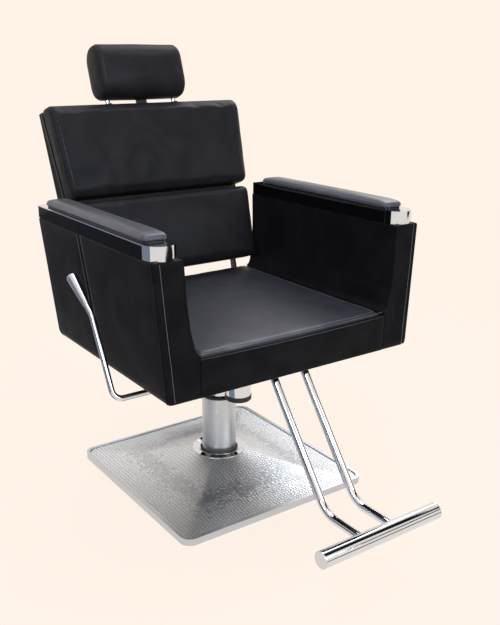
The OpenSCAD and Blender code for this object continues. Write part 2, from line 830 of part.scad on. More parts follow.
module arm_plate() {
    translate([0, 0, arm_top_z + rest_h]) linear_extrude(height = rest_plate_t) rest_outline(0);
}

module pad_base() {
    half = arm_pad_w / 2 - pad_base_inset;
    translate([rest_x, (pad_back - pad_front) / 2, pad_z - pad_base_t]) linear_extrude(height = pad_base_t)
        rounded_plate(2 * half, pad_front + pad_back - 2 * pad_base_inset, pad_corner_r - pad_base_inset);
}

module arm_pad() {
    crowned_block(rest_x - arm_pad_w / 2, rest_x + arm_pad_w / 2, -pad_front, pad_back, pad_z,
        arm_pad_t * (1 - pad_crown_share), pad_corner_r, arm_pad_t * pad_edge_share,
            arm_pad_t * pad_crown_share, pad_pull);
}

module right_side() {
    mirror([1, 0, 0]) children();
}

module both_sides() {
    children();
    right_side() children();
}

// Footrest

module footrest_bracket() {
    color("dimgray") block(-foot_plate_half_w, foot_plate_half_w, -frame_front, -foot_plate_back,
        foot_top_z, mount_top_z);
}

module footrest_tubes() {
    run = foot_top_y - (foot_reach - foot_level - foot_top_y) * foot_plate_t / (foot_top_z - foot_z);
    color("silver") for (s = [-1, 1]) difference() {
        bent_rod([[s * foot_tube_spacing / 2, -run, foot_top_z + foot_plate_t],
            [s * foot_tube_spacing / 2, -foot_reach + foot_level, foot_z],
            [s * foot_tube_spacing / 2, -foot_reach, foot_z]], [foot_bend_r], foot_tube_r);
        block(-foot_reach, foot_reach, -foot_reach, foot_reach, foot_top_z, foot_top_z + foot_reach);
        along_x(-foot_bar_len / 2, foot_bar_len / 2, -foot_reach, foot_z, foot_bar_r);
    }
}

module footrest_bar() {
    color("silver") along_x(-foot_bar_len / 2 + foot_cap_t, foot_bar_len / 2 - foot_cap_t, -foot_reach,
        foot_z, foot_bar_r);
}

module footrest_caps() {
    color("gainsboro") for (s = [-1, 1]) translate([s * (foot_bar_len / 2 - foot_cap_t), -foot_reach,
        foot_z])
        rotate([0, s * 90, 0]) rotate_extrude($fn = round_fn) polygon([[0, 0], [foot_bar_r, 0],
            [foot_bar_r, foot_cap_t - foot_cap_r_in], [foot_bar_r - foot_cap_r_in, foot_cap_t],
                [0, foot_cap_t]]);
}

// Recline hinge

module hinge_brackets() {
    low = pivot_z - bracket_low;
    inner = knuckle_w / 2 + fork_gap;
    color("dimgray") both_sides() difference() {
        union() {
            block(bar_x - bracket_in, bar_x + inner + fork_t, rear_rail_back, rear_rail_back + bracket_t,
                low, pivot_z + bracket_high);
            for (x = [bar_x - inner - fork_t, bar_x + inner]) across(x, x + fork_t) union() {
                translate([pivot_y, pivot_z]) circle(knuckle_r, $fn = rod_fn);
                polygon([[rear_rail_back, low], [pivot_y, pivot_z - knuckle_r], [pivot_y, pivot_z],
                    [rear_rail_back, pivot_z + bracket_high]]);
            }
        }
        along_x(bar_x - bracket_in, bar_x + bracket_in, pivot_y, pivot_z, pin_r);
    }
}

module hinge_bolts() {
    color("gray") both_sides()
        for (z = [pivot_z - bracket_low + hinge_bolt_in, pivot_z + bracket_high - hinge_bolt_in])
            translate([bar_x - hinge_bolt_x, rear_rail_back + bracket_t, z]) rotate([-90, 0, 0])
                hex_bolt(hinge_bolt_r, hinge_bolt_h);
}

module hinge_pins() {
    reach = knuckle_w / 2 + fork_gap + fork_t;
    color("silver") both_sides() {
        along_x(bar_x - reach, bar_x + reach, pivot_y, pivot_z, pin_r);
        for (x = [bar_x - reach - pin_head_h, bar_x + reach]) along_x(x, x + pin_head_h, pivot_y, pivot_z,
            pin_head_r);
    }
}

// Gas spring and its release

module gas_bracket() {
    half = gas_r + clamp_wall;
    color("dimgray") difference() {
        block(gas_x - half, gas_x + half, gas_front, gas_front + bracket_len, gas_z - half, head_top_z);
        translate([gas_x, gas_front - over, gas_z]) rotate([-90, 0, 0])
            cylinder(h = bracket_len + 2 * over, r = gas_r, $fn = rod_fn);
    }
}

module gas_cylinder() {
    color("black") translate([gas_x, gas_front, gas_z]) rotate([-90, 0, 0]) difference() {
        union() {
            cylinder(h = gas_back - gas_front, r = gas_r, $fn = rod_fn);
            translate([0, 0, -valve_len]) cylinder(h = valve_len + over, r = valve_r, $fn = rod_fn);
        }
        translate([0, 0, gas_bore_front - gas_front]) cylinder(h = gas_back - gas_bore_front + over,
            r = gas_rod_r + fit, $fn = rod_fn);
    }
}

module gas_rod() {
    eye_r = crank_pin_r + eye_play;
    color("silver") difference() {
        union() {
            translate([gas_x, gas_rod_in, gas_z]) rotate([-90, 0, 0])
                cylinder(h = crank_rest_y - gas_rod_in - eye_r - eye_wall / 2, r = gas_rod_r, $fn = rod_fn);
            along_x(gas_x - eye_t / 2, gas_x + eye_t / 2, crank_rest_y, gas_z, eye_r + eye_wall);
        }
        along_x(gas_x - eye_t, gas_x + eye_t, crank_rest_y, gas_z, eye_r);
    }
}

module release_bracket() {
    color("dimgray") for (x = [release_x1, release_x2]) difference() {
        block(x - release_lug_t / 2, x + release_lug_t / 2, release_y - finger_w, release_y + finger_w,
            release_z - finger_w, x < mount_half_w ? head_top_z : frame_top_z);
        along_x(x - release_lug_t, x + release_lug_t, release_y, release_z, release_r + fit);
    }
}

module release_lever() {
    color("black") union() {
        along_x(release_in, release_out - knob_w, release_y, release_z, release_r);
        hull() {
            along_x(release_out - knob_w, release_out, release_y, release_z, knob_r);
            along_x(release_out - knob_w, release_out, release_y - knob_len, release_z - knob_r / 2,
                knob_r);
        }
        across(gas_x - finger_w / 2, gas_x + finger_w / 2) union() {
            translate([release_y, release_z]) circle(release_r + fork_t / 2, $fn = rod_fn);
            translate([release_y, release_z]) square([finger_r, release_arm]);
        }
    }
}

// Pump lever

lever_points = [[-lever_x, -lever_y + lerp(bend_1_run, grip_run, grip_foot_share),
    lever_z + lerp(bend_1_rise, grip_rise, grip_foot_share)],
    [-lever_x, -lever_y + bend_1_run, lever_z + bend_1_rise],
    [-lever_x, -lever_y, lever_z], [lug_in + lug_t + shaft_over, -lever_y, lever_z]];

module lever_rod() {
    color("silver") bent_rod(lever_points, [bend_1_r, bend_2_r], lever_r);
}

module lever_grip() {
    top = [-lever_x, -lever_y + grip_run, lever_z + grip_rise];
    axis = unit(top - lever_points[1]);
    foot = top - axis * grip_len;
    tip_r = grip_r * grip_tip_share;
    color("silver") translate(foot) rotate([-atan2(axis[1], axis[2]), 0,
        0]) rotate_extrude($fn = round_fn) difference() {
        polygon(concat([[0, 0], [lever_r + cap_proud, 0], [grip_r, grip_len - tip_r]],
            [for (a = [15:15:75]) [grip_r - tip_r + tip_r * cos(a), grip_len - tip_r + tip_r * sin(a)]],
            [[grip_r - tip_r, grip_len], [0, grip_len]]));
        square([lever_r, norm(lever_points[0] - foot)]);
    }
}

module lever_rocker() {
    color("gray") translate([0, -lever_y, lever_z]) rotate([lever_swing / 2, 0, 0]) difference() {
        union() {
            along_x(-rocker_t / 2, rocker_t / 2, 0, 0, rocker_hub_r);
            across(-rocker_t / 4, rocker_t / 4) polygon([[0, rocker_hub_r], [rocker_len, roller_r / 2],
                [rocker_len, -roller_r / 2], [0, -rocker_hub_r]]);
            along_x(-rocker_t / 2, rocker_t / 2, rocker_len, 0, roller_r);
        }
        along_x(-rocker_t, rocker_t, 0, 0, lever_r);
    }
}

// Backrest

// Side bars that taper from the hinge knuckles up to the board, a cross tube and the gas spring's crank
module back_frame() {
    top_s = back_top_s - bar_top_drop;
    cross_t = lerp(hinge_t, bar_front + bar_top_t / 2, (cross_s - hinge_s) / (top_s - hinge_s));
    cross = back_point(cross_s, cross_t);
    color("dimgray") {
        both_sides() difference() {
            union() {
                across(bar_x - bar_w / 2, bar_x + bar_w / 2) polygon([
                    back_point(hinge_s, hinge_t - bar_t / 2), back_point(hinge_s, hinge_t + bar_t / 2),
                    back_point(top_s, bar_front + bar_top_t), back_point(top_s, bar_front)]);
                along_x(bar_x - knuckle_w / 2, bar_x + knuckle_w / 2, pivot_y, pivot_z, knuckle_r);
            }
            along_x(bar_x - knuckle_w, bar_x + knuckle_w, pivot_y, pivot_z, pin_r + fit);
        }
        along_x(-bar_x, bar_x, cross[0], cross[1], cross_r);
        across(crank_x - crank_t / 2, crank_x + crank_t / 2) union() {
            translate([crank_rest_y, crank_rest_z]) circle(crank_r, $fn = rod_fn);
            polygon([[cross[0] - cross_r / 2, cross[1]], [cross[0] + cross_r, cross[1]],
                [crank_rest_y + crank_r, crank_rest_z], [crank_rest_y - crank_r, crank_rest_z]]);
        }
        along_x(crank_x, gas_x + eye_t / 2 + fork_gap, crank_rest_y, crank_rest_z, crank_pin_r);
        along_x(gas_x + eye_t / 2 + fork_gap, gas_x + eye_t / 2 + fork_gap + fork_t / 2, crank_rest_y,
            crank_rest_z, crank_pin_r + eye_play);
    }
}

// The flared outline of the back, inset all along its sides, as a slab from y0 to y1
module back_slab(y0, y1, inset, low_s, top_s) {
    low = back_half(low_s) - inset;
    top = back_half(top_s) - inset;
    translate([0, y1, 0]) rotate([90, 0, 0]) linear_extrude(height = y1 - y0)
        polygon([[-low, low_s], [low, low_s], [top, top_s], [-top, top_s]]);
}

module back_board() {
    color("black") back_place() back_slab(shell_front, shell_front + panel_t, shell_side_gap,
        shell_low_s, back_top_s - shell_inset);
}

module back_shell() {
    z1 = back_top_s - shell_inset;
    y0 = shell_front + panel_t;
    y1 = y0 + shell_bottom_t;
    corner_s = shell_low_s + shell_low_rise;
    color([0.08, 0.08, 0.1]) back_place() difference() {
        intersection() {
            back_slab(y0, y1, shell_side_gap, shell_low_s, z1);
            across(-base_side, base_side) polygon([[y0, shell_low_s], [y1, corner_s],
                [y0 + shell_top_t, z1], [y0, z1]]);
        }
        intersection() {
            back_slab(y0 - over, y1, shell_side_gap + shell_wall, shell_low_s - over, z1);
            across(-base_side, base_side) polygon([[y0 - over, shell_low_s - over],
                [y1 - shell_wall, shell_low_s - over], [y1 - shell_wall, corner_s],
                [y0 + shell_top_t - shell_wall, z1 - shell_wall], [y0 - over, z1 - shell_wall]]);
        }
    }
}

module lower_cushion() {
    color([0.11, 0.11, 0.13]) back_place()
        end_capped_cushion(back_half(0), back_half(lower_h), lower_h, back_pad_t, cushion_bottom_r,
            cushion_bottom_r, cushion_end_r, cushion_end_r, back_crown);
}

module upper_cushion() {
    hole_r = post_r + sleeve_wall + play;
    color([0.11, 0.11, 0.13]) back_place() difference() {
        translate([0, 0, upper_s])
            end_capped_cushion(back_half(upper_s), back_half(back_top_s), upper_h, back_pad_t,
                cushion_top_r, cushion_bottom_r, cushion_end_r, cushion_end_r, back_crown);
        for (s = [-1, 1]) translate([s * post_x, post_depth, post_low_s - over])
            cylinder(h = head_s - post_low_s, r = hole_r, $fn = 16);
        block(-ratchet_w / 2 - guide_wall - play, ratchet_w / 2 + guide_wall + play,
            post_depth - ratchet_t / 2 - guide_wall - play,
            post_depth + back_pad_t, post_low_s - over, head_s);
    }
}

module post_sleeves() {
    top = back_top_s + sleeve_flange_t;
    color("black") back_place() {
        for (s = [-1, 1]) translate([s * post_x, post_depth, 0]) {
            tube_z(post_r + sleeve_wall, post_r + fit, back_top_s - sleeve_len, top);
            tube_z(sleeve_flange_r, post_r + fit, back_top_s + seam, top + seam);
        }
        difference() {
            block(-ratchet_w / 2 - guide_wall, ratchet_w / 2 + guide_wall,
                post_depth - ratchet_t / 2 - guide_wall,
                post_depth + ratchet_t / 2 + guide_wall, back_top_s - sleeve_len, top);
            block(-ratchet_w / 2 - fork_gap, ratchet_w / 2 + fork_gap,
                post_depth - ratchet_t / 2 - fork_gap,
                post_depth + ratchet_t / 2 + fork_gap, back_top_s - sleeve_len - over, top + over);
        }
    }
}

// Headrest

module headrest_posts() {
    color("silver") back_place() for (s = [-1, 1]) translate([s * post_x, post_depth, post_low_s])
        cylinder(h = post_top_s - post_low_s, r = post_r, $fn = rod_fn);
}

module ratchet_bar() {
    color("black") back_place() block(-ratchet_w / 2, ratchet_w / 2, post_depth - ratchet_t / 2,
        post_depth + ratchet_t / 2,
        post_low_s, post_top_s);
}

module headrest_cushion() {
    color([0.11, 0.11, 0.13]) back_place() difference() {
        translate([0, 0, head_s])
            end_capped_cushion(head_half_w, head_half_w, head_h, head_t, head_edge_r, head_edge_r,
                head_edge_r, head_end_r, back_crown / 2);
        for (s = [-1, 1]) translate([s * post_x, post_depth, head_s - over])
            cylinder(h = post_top_s - head_s + over, r = post_r + fit, $fn = rod_fn);
        block(-ratchet_w / 2, ratchet_w / 2, post_depth - ratchet_t / 2, post_depth + ratchet_t / 2,
            head_s - over, post_top_s);
    }
}

module arm_panel_left() {
    color([0.1, 0.1, 0.12]) arm_panel();
}

module arm_panel_right() {
    color([0.1, 0.1, 0.12]) right_side() arm_panel();
}

module arm_block_left() {
    color("black") arm_block();
}

module arm_block_right() {
    color("black") right_side() arm_block();
}

module arm_band_left() {
    color("silver") arm_band();
}

module arm_band_right() {
    color("silver") right_side() arm_band();
}

module arm_plate_left() {
    color("silver") arm_plate();
}

module arm_plate_right() {
    color("silver") right_side() arm_plate();
}

module pad_base_left() {
    color("black") pad_base();
}

module pad_base_right() {
    color("black") right_side() pad_base();
}

module arm_pad_left() {
    color([0.13, 0.13, 0.16]) arm_pad();
}

module arm_pad_right() {
    color([0.13, 0.13, 0.16]) right_side() arm_pad();
}

base_plate();
base_rim();
base_cover();
collar_ring();
column_grommet();
column_flange();
base_bolts();
column_tube();
column_seal();
guide_bush();
ram();
ram_piston();
thrust_washer();
pump_head();
pump_cylinder();
pump_cap();
head_bolts();
mounting_plate();
seat_frame();
seat_board();
seat_cushion();
front_rail();
rear_rail();
arm_panel_right();
arm_panel_left();
arm_block_right();
arm_block_left();
arm_band_right();
arm_band_left();
arm_plate_right();
arm_plate_left();
pad_base_right();
pad_base_left();
arm_pad_right();
arm_pad_left();
footrest_bracket();
footrest_tubes();
footrest_bar();
footrest_caps();
hinge_brackets();
hinge_bolts();
hinge_pins();
gas_bracket();
gas_cylinder();
release_bracket();
lever_rod();
lever_grip();
lever_rocker();
pump_plunger();
back_frame();
back_board();
back_shell();
lower_cushion();
upper_cushion();
post_sleeves();
gas_rod();
headrest_posts();
ratchet_bar();
headrest_cushion();
release_lever();
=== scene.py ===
import json

import bmesh
import bpy
import numpy as np
from mathutils import Matrix, Vector


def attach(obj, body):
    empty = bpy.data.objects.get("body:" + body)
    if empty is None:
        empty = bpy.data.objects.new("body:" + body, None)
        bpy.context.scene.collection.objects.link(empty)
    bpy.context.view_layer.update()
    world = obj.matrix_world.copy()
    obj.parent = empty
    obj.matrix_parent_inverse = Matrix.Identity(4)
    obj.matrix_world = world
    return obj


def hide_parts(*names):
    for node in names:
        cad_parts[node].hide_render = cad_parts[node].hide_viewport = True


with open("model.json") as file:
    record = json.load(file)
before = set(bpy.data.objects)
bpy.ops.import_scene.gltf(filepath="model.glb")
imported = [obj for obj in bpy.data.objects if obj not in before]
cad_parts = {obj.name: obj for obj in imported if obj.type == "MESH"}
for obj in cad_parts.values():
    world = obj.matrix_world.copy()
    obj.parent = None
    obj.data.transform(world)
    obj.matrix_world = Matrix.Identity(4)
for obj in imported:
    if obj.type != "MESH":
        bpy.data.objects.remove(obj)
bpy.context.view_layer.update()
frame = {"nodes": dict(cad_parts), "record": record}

mm = 0.001
print("stage: frame loaded")

# camera
cameraLook = {
    "place": (-0.99257, -1.48058, 0.97293),
    "yaw": 34.04,       # degrees to the right of straight ahead
    "pitch": 18.67,     # degrees down
    "lens": 46.33,
    "shift": (0.0454, 0.0224),
}


def addCamera(look):
    # the view runs along yaw and pitch, level from side to side
    yaw, pitch = np.radians([look["yaw"], look["pitch"]])
    ahead = np.array([np.sin(yaw) * np.cos(pitch), np.cos(yaw) * np.cos(pitch), -np.sin(pitch)])
    right = np.array([np.cos(yaw), -np.sin(yaw), 0.0])
    up = np.cross(right, ahead)
    data = bpy.data.cameras.new("photoView")
    data.lens, data.shift_x, data.shift_y = look["lens"], *look["shift"]
    data.clip_start, data.clip_end = 0.05, 60
    camera = bpy.data.objects.new("photoView", data)
    turn = Matrix(np.column_stack([right, up, -ahead]).tolist()).to_4x4()
    camera.matrix_world = Matrix.Translation(look["place"]) @ turn
    bpy.context.scene.collection.objects.link(camera)
    bpy.context.scene.camera = camera


addCamera(cameraLook)
bpy.context.scene.view_settings.view_transform = "Standard"


# mesh helpers
def unit(v):
    return v / np.maximum(np.linalg.norm(v, axis=-1, keepdims=True), 1e-12)


def gridQuads(rows, cols):
    # a quad for each cell between neighbouring rows, whose columns close into rings
    i, j = np.meshgrid(np.arange(rows - 1), np.arange(cols), indexing="ij")
    here, above, beside = i * cols, (i + 1) * cols, (j + 1) % cols
    return np.stack([here + j, here + beside, above + beside, above + j], -1).reshape(-1, 4)


def capTris(start, centre, cols):
    # a fan from a centre point to a closed row of points
    j = np.arange(cols)
    return np.stack([np.full(cols, centre), start + j, start + (j + 1) % cols], -1)


def makePiece(name, points, faces, material, smooth=True):
    mesh = bpy.data.meshes.new(name)
    mesh.from_pydata(np.asarray(points, float).reshape(-1, 3).tolist(), [],
                     [f.tolist() for block in faces for f in block])
    shell = bmesh.new()
    shell.from_mesh(mesh)
    bmesh.ops.remove_doubles(shell, verts=shell.verts, dist=1e-6)
    bmesh.ops.recalc_face_normals(shell, faces=shell.faces)
    shell.to_mesh(mesh)
    shell.free()
    mesh.polygons.foreach_set("use_smooth", [smooth] * len(mesh.polygons))
    piece = bpy.data.objects.new(name, mesh)
    bpy.context.scene.collection.objects.link(piece)
    mesh.materials.append(material)
    return piece


def closedLoft(name, rows, material):
    # rows of closed rings, with a fan at each end
    n, m, _ = rows.shape
    points = np.concatenate([rows.reshape(-1, 3), [rows[0].mean(0), rows[-1].mean(0)]])
    faces = [gridQuads(n, m), capTris(0, n * m, m), capTris((n - 1) * m, n * m + 1, m)]
    return makePiece(name, points, faces, material)


def closedRun(points):
    return np.vstack([points, points[:1]])


def runLength(points):
    # how far along the polyline each of its points lies
    return np.concatenate([[0], np.cumsum(np.linalg.norm(np.diff(points, axis=0), axis=1))])


def sampled(values, length, at):
    # the values that belong to the given lengths along a polyline
    return np.stack([np.interp(at, length, column) for column in values.T], -1)


def evenLoop(points, count):
    # the closed polyline walked at equal steps
    closed = closedRun(points)
    length = runLength(closed)
    return sampled(closed, length, np.linspace(0, length[-1], count, endpoint=False))


def acrossPath(normals, along):
    # the normals with their share along the path taken out
    return unit(normals - along * (normals * along).sum(-1, keepdims=True))


def walkPath(path, normals, step):
    # points, directions and normals at equal steps along an open polyline
    length = runLength(path)
    count = max(2, int(length[-1] / step))
    at = (np.arange(count) + 0.5) * length[-1] / count
    along = unit(sampled(path, length, at + step / 4) - sampled(path, length, at - step / 4))
    return sampled(path, length, at), along, acrossPath(sampled(normals, length, at), along)


def tubeRows(path, normals, radius, count=10):
    # a circle carried along a path
    along = unit(np.gradient(path, axis=0))
    out = acrossPath(normals, along)
    side = np.cross(along, out)
    angle = np.linspace(0, 2 * np.pi, count, endpoint=False)[:, None]
    return path[:, None] + radius * (out[:, None] * np.cos(angle) + side[:, None] * np.sin(angle))


def pointsOf(mesh):
    # places and normals of the mesh's points
    at, out = np.empty(len(mesh.vertices) * 3), np.empty(len(mesh.vertices) * 3)
    mesh.vertices.foreach_get("co", at)
    mesh.vertex_normals.foreach_get("vector", out)
    return at.reshape(-1, 3), out.reshape(-1, 3)


def addModifiers(piece, *steps):
    for kind, values in steps:
        made = piece.modifiers.new(kind.lower(), kind)
        for key, value in values.items():
            setattr(made, key, value)


def bakeModifiers(piece):
    # the finished mesh takes the place of the piece's own, and the modifiers go
    baked = bpy.data.meshes.new_from_object(piece.evaluated_get(bpy.context.evaluated_depsgraph_get()))
    old = piece.data
    piece.modifiers.clear()
    piece.data = baked
    bpy.data.meshes.remove(old)


def place(piece, body, slot, *nodes, fill=None):
    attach(piece, body)
    if nodes:
        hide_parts(*nodes)


# thread
thread = {"pitch": 4.2 * mm, "length": 3.1 * mm, "radius": 0.55 * mm, "sink": 0.12 * mm, "arch": 5,
          "share": (-0.5, -0.38, 0.0, 0.38, 0.5), "girth": (0.25, 0.85, 1.0, 0.85, 0.25)}


def stitches(paths, look):
    # each stitch is a six-sided spindle that arches out of the leather and dips into it at both ends
    rings, sides = len(look["share"]), 6
    share, girth = np.array(look["share"]), look["radius"] * np.array(look["girth"])[:, None]
    angle = np.linspace(0, 2 * np.pi, sides, endpoint=False)
    lift = look["radius"] * (1 - look["arch"] * share ** 2) - look["sink"]
    ahead = (share * look["length"])[:, None, None]
    up = (lift[:, None] + girth * np.cos(angle))[..., None]
    aside = (girth * np.sin(angle))[..., None]
    spindles = []
    for path, normals in paths:
        spot, along, out = (v[:, None, None] for v in walkPath(path, normals, look["pitch"]))
        spindles.append((spot + along * ahead + out * up + np.cross(along, out) * aside).reshape(-1, 3))
    points = np.concatenate(spindles)
    end = np.array([[0, 1, 2, 3], [0, 3, 4, 5]])
    one = np.concatenate([gridQuads(rings, sides), end, (rings - 1) * sides + end[:, ::-1]])
    return points, [(one + np.arange(0, len(points), rings * sides)[:, None, None]).reshape(-1, 4)]


def sewOn(name, paths, body, slot):
    points, faces = stitches(paths, thread)
    place(makePiece(name, points, faces, looks["thread"]), body, slot)


# shared effects
def feed(tree, socket, value):
    # a socket is linked, and a plain value is set
    if isinstance(value, bpy.types.NodeSocket):
        tree.links.new(value, socket)
    else:
        socket.default_value = value


def addNode(tree, kind, inputs=None, **settings):
    node = tree.nodes.new(kind)
    for key, value in settings.items():
        setattr(node, key, value)
    for key, value in (inputs or {}).items():
        feed(tree, node.inputs[key], value)
    return node


def maths(tree, operation, a, b=None):
    inputs = {0: a} if b is None else {0: a, 1: b}
    return addNode(tree, "ShaderNodeMath", inputs, operation=operation).outputs[0]


def spread(tree, value, low, high, toLow=0.0, toHigh=1.0):
    return addNode(tree, "ShaderNodeMapRange", {0: value, 1: low, 2: high, 3: toLow, 4: toHigh}).outputs[0]


def blendColour(tree, share, a, b):
    return addNode(tree, "ShaderNodeMix", {0: share, 6: a, 7: b}, data_type="RGBA").outputs[2]


def noise(tree, where, settings):
    return addNode(tree, "ShaderNodeTexNoise", {"Vector": where, **settings}).outputs


def addBump(tree, shader, height, strength, depth):
    bump = addNode(tree, "ShaderNodeBump", {"Height": height, "Strength": strength, "Distance": depth})
    tree.links.new(bump.outputs[0], shader.inputs["Normal"])


def newGroup(name, inputs, outputs):
    group = bpy.data.node_groups.new(name, "ShaderNodeTree")
    for label, kind in inputs:
        group.interface.new_socket(label, in_out="INPUT", socket_type=kind)
    for label in outputs:
        group.interface.new_socket(label, in_out="OUTPUT", socket_type="NodeSocketFloat")
    return group, group.nodes.new("NodeGroupInput").outputs, group.nodes.new("NodeGroupOutput").inputs


grain = {
    "cells": 900.0, "cellEdge": 0.16,               # cells in a metre, and how wide their valleys are
    "warp": {"Scale": 260.0, "Detail": 2.0}, "warpBy": (0.0018,) * 3,
    "crease": {"Scale": 34.0, "Detail": 5.0, "Roughness": 0.62, "Distortion": 0.6},
    "creaseWidth": 0.035, "creaseDepth": 0.6,
    "mottle": {"Scale": 9.0, "Detail": 4.0, "Roughness": 0.55, "Distortion": 1.2},
    "colourRange": (0.36, 0.64), "roughRange": (0.3, 0.7),
    "valleyShade": 0.35, "valleyDark": 0.5,
    "bump": 0.12, "depth": 0.0006,
    "tint": (0.72, 0.82, 1.0), "coatRough": 0.3,
}


def grainGroup(look):
    # pebbled grain of full-grain leather: fine cells, broken up by noise, and soft broad creases
    tree, given, wanted = newGroup("leatherGrain", [("Place", "NodeSocketVector"),
                                                    ("Creases", "NodeSocketFloat")],
                                   ["Height", "Mottle", "Valley"])
    warp = noise(tree, given["Place"], look["warp"])["Color"]
    bent = addNode(tree, "ShaderNodeVectorMath", {0: warp, 1: look["warpBy"]}, operation="MULTIPLY")
    moved = addNode(tree, "ShaderNodeVectorMath", {0: given["Place"], 1: bent.outputs[0]}, operation="ADD")
    cells = addNode(tree, "ShaderNodeTexVoronoi", {"Vector": moved.outputs[0], "Scale": look["cells"]},
                    feature="DISTANCE_TO_EDGE")
    valley = spread(tree, cells.outputs["Distance"], 0.0, look["cellEdge"])
    crease = noise(tree, given["Place"], look["crease"])[0]
    ridge = maths(tree, "ABSOLUTE", maths(tree, "SUBTRACT", crease, 0.5))
    fold = maths(tree, "MULTIPLY", spread(tree, ridge, 0.0, look["creaseWidth"], 1.0, 0.0),
                 given["Creases"])
    height = maths(tree, "SUBTRACT", valley, maths(tree, "MULTIPLY", fold, look["creaseDepth"]))
    mottle = noise(tree, given["Place"], look["mottle"])[0]
    for label, value in (("Height", height), ("Mottle", mottle), ("Valley", valley)):
        tree.links.new(value, wanted[label])
    return tree


wear = {"smear": {"Scale": 14.0, "Detail": 5.0, "Roughness": 0.6, "Distortion": 0.8},
        "smearRange": (0.35, 0.68), "speck": {"Scale": 420.0, "Detail": 2.0}, "speckRange": (0.62, 0.74)}


def wearGroup(look):
    # light smears and specks that change how sharply metal or paint shines
    tree, given, wanted = newGroup("handling", [("Place", "NodeSocketVector")], ["Smear", "Speck"])
    for label, key in (("Smear", "smear"), ("Speck", "speck")):
        mark = noise(tree, given["Place"], look[key])[0]
        tree.links.new(spread(tree, mark, *look[key + "Range"]), wanted[label])
    return tree


leatherGrain = grainGroup(grain)
handling = wearGroup(wear)


def startMaterial(name, effect, **inputs):
    # a new material whose shared effect is read in the piece's own metres
    material = bpy.data.materials.new(name)
    material.use_nodes = True
    tree = material.node_tree
    where = addNode(tree, "ShaderNodeTexCoord").outputs["Object"]
    marks = addNode(tree, "ShaderNodeGroup", {"Place": where, **inputs}, node_tree=effect)
    return material, tree, tree.nodes["Principled BSDF"], where, marks.outputs


def leather(name, dark, light, rough, coat, creases, specular):
    # the colour wanders between dark and light, and the grain's valleys are darker than either: painted
    # shade in the grain's recesses
    material, tree, shader, _, marks = startMaterial(name, leatherGrain, Creases=creases)
    share = spread(tree, marks["Mottle"], *grain["colourRange"])
    colour = blendColour(tree, share, (*dark, 1), (*light, 1))
    valley = spread(tree, marks["Valley"], 0.0, 1.0, grain["valleyShade"], 0.0)
    deep = (*(grain["valleyDark"] * c for c in dark), 1)
    tree.links.new(blendColour(tree, valley, colour, deep), shader.inputs["Base Color"])
    tree.links.new(spread(tree, marks["Mottle"], *grain["roughRange"], rough[1], rough[0]),
                   shader.inputs["Roughness"])
    addBump(tree, shader, marks["Height"], grain["bump"], grain["depth"])
    shader.inputs["Specular IOR Level"].default_value = specular
    shader.inputs["Specular Tint"].default_value = (*grain["tint"], 1)
    shader.inputs["Coat Weight"].default_value = coat
    shader.inputs["Coat Roughness"].default_value = grain["coatRough"]
    return material


bare = {"speck": 0.8, "stretch": (1, 1, 40), "lines": {"Scale": 60.0, "Detail": 4.0}, "lineRough": 0.12,
        "bump": 0.05, "depth": 0.0002}


def metal(name, colour, rough, smear=0.04, brushed=False):
    # bare metal with handling marks, and fine level lines where it was brushed
    material, tree, shader, where, marks = startMaterial(name, handling)
    amount = spread(tree, marks["Smear"], 0.0, 1.0, rough, rough + smear)
    if brushed:
        stretched = addNode(tree, "ShaderNodeMapping", {"Vector": where, "Scale": bare["stretch"]})
        lines = noise(tree, stretched.outputs[0], bare["lines"])[0]
        amount = maths(tree, "ADD", amount, maths(tree, "MULTIPLY", lines, bare["lineRough"]))
        addBump(tree, shader, lines, bare["bump"], bare["depth"])
    tree.links.new(amount, shader.inputs["Roughness"])
    specks = (*(bare["speck"] * c for c in colour), 1)
    tree.links.new(blendColour(tree, marks["Speck"], (*colour, 1), specks), shader.inputs["Base Color"])
    shader.inputs["Metallic"].default_value = 1.0
    return material


paint = {"smear": 0.08, "speck": 1.5, "speckLift": 0.004, "detail": 2.0, "depth": 0.0004,
         "coatRough": 0.03}


def coated(name, colour, rough, coat=0.0, bump=0.0, scale=700.0, specular=0.5):
    # paint, plastic, rubber, wood or thread: pale specks, and a fine uneven skin where bump is given
    material, tree, shader, where, marks = startMaterial(name, handling)
    tree.links.new(spread(tree, marks["Smear"], 0.0, 1.0, rough, rough + paint["smear"]),
                   shader.inputs["Roughness"])
    specks = (*(min(1, paint["speck"] * c + paint["speckLift"]) for c in colour), 1)
    tree.links.new(blendColour(tree, marks["Speck"], (*colour, 1), specks), shader.inputs["Base Color"])
    if bump:
        skin = noise(tree, where, {"Scale": scale, "Detail": paint["detail"]})[0]
        addBump(tree, shader, skin, bump, paint["depth"])
    shader.inputs["Coat Weight"].default_value = coat
    shader.inputs["Coat Roughness"].default_value = paint["coatRough"]
    shader.inputs["Specular IOR Level"].default_value = specular
    return material


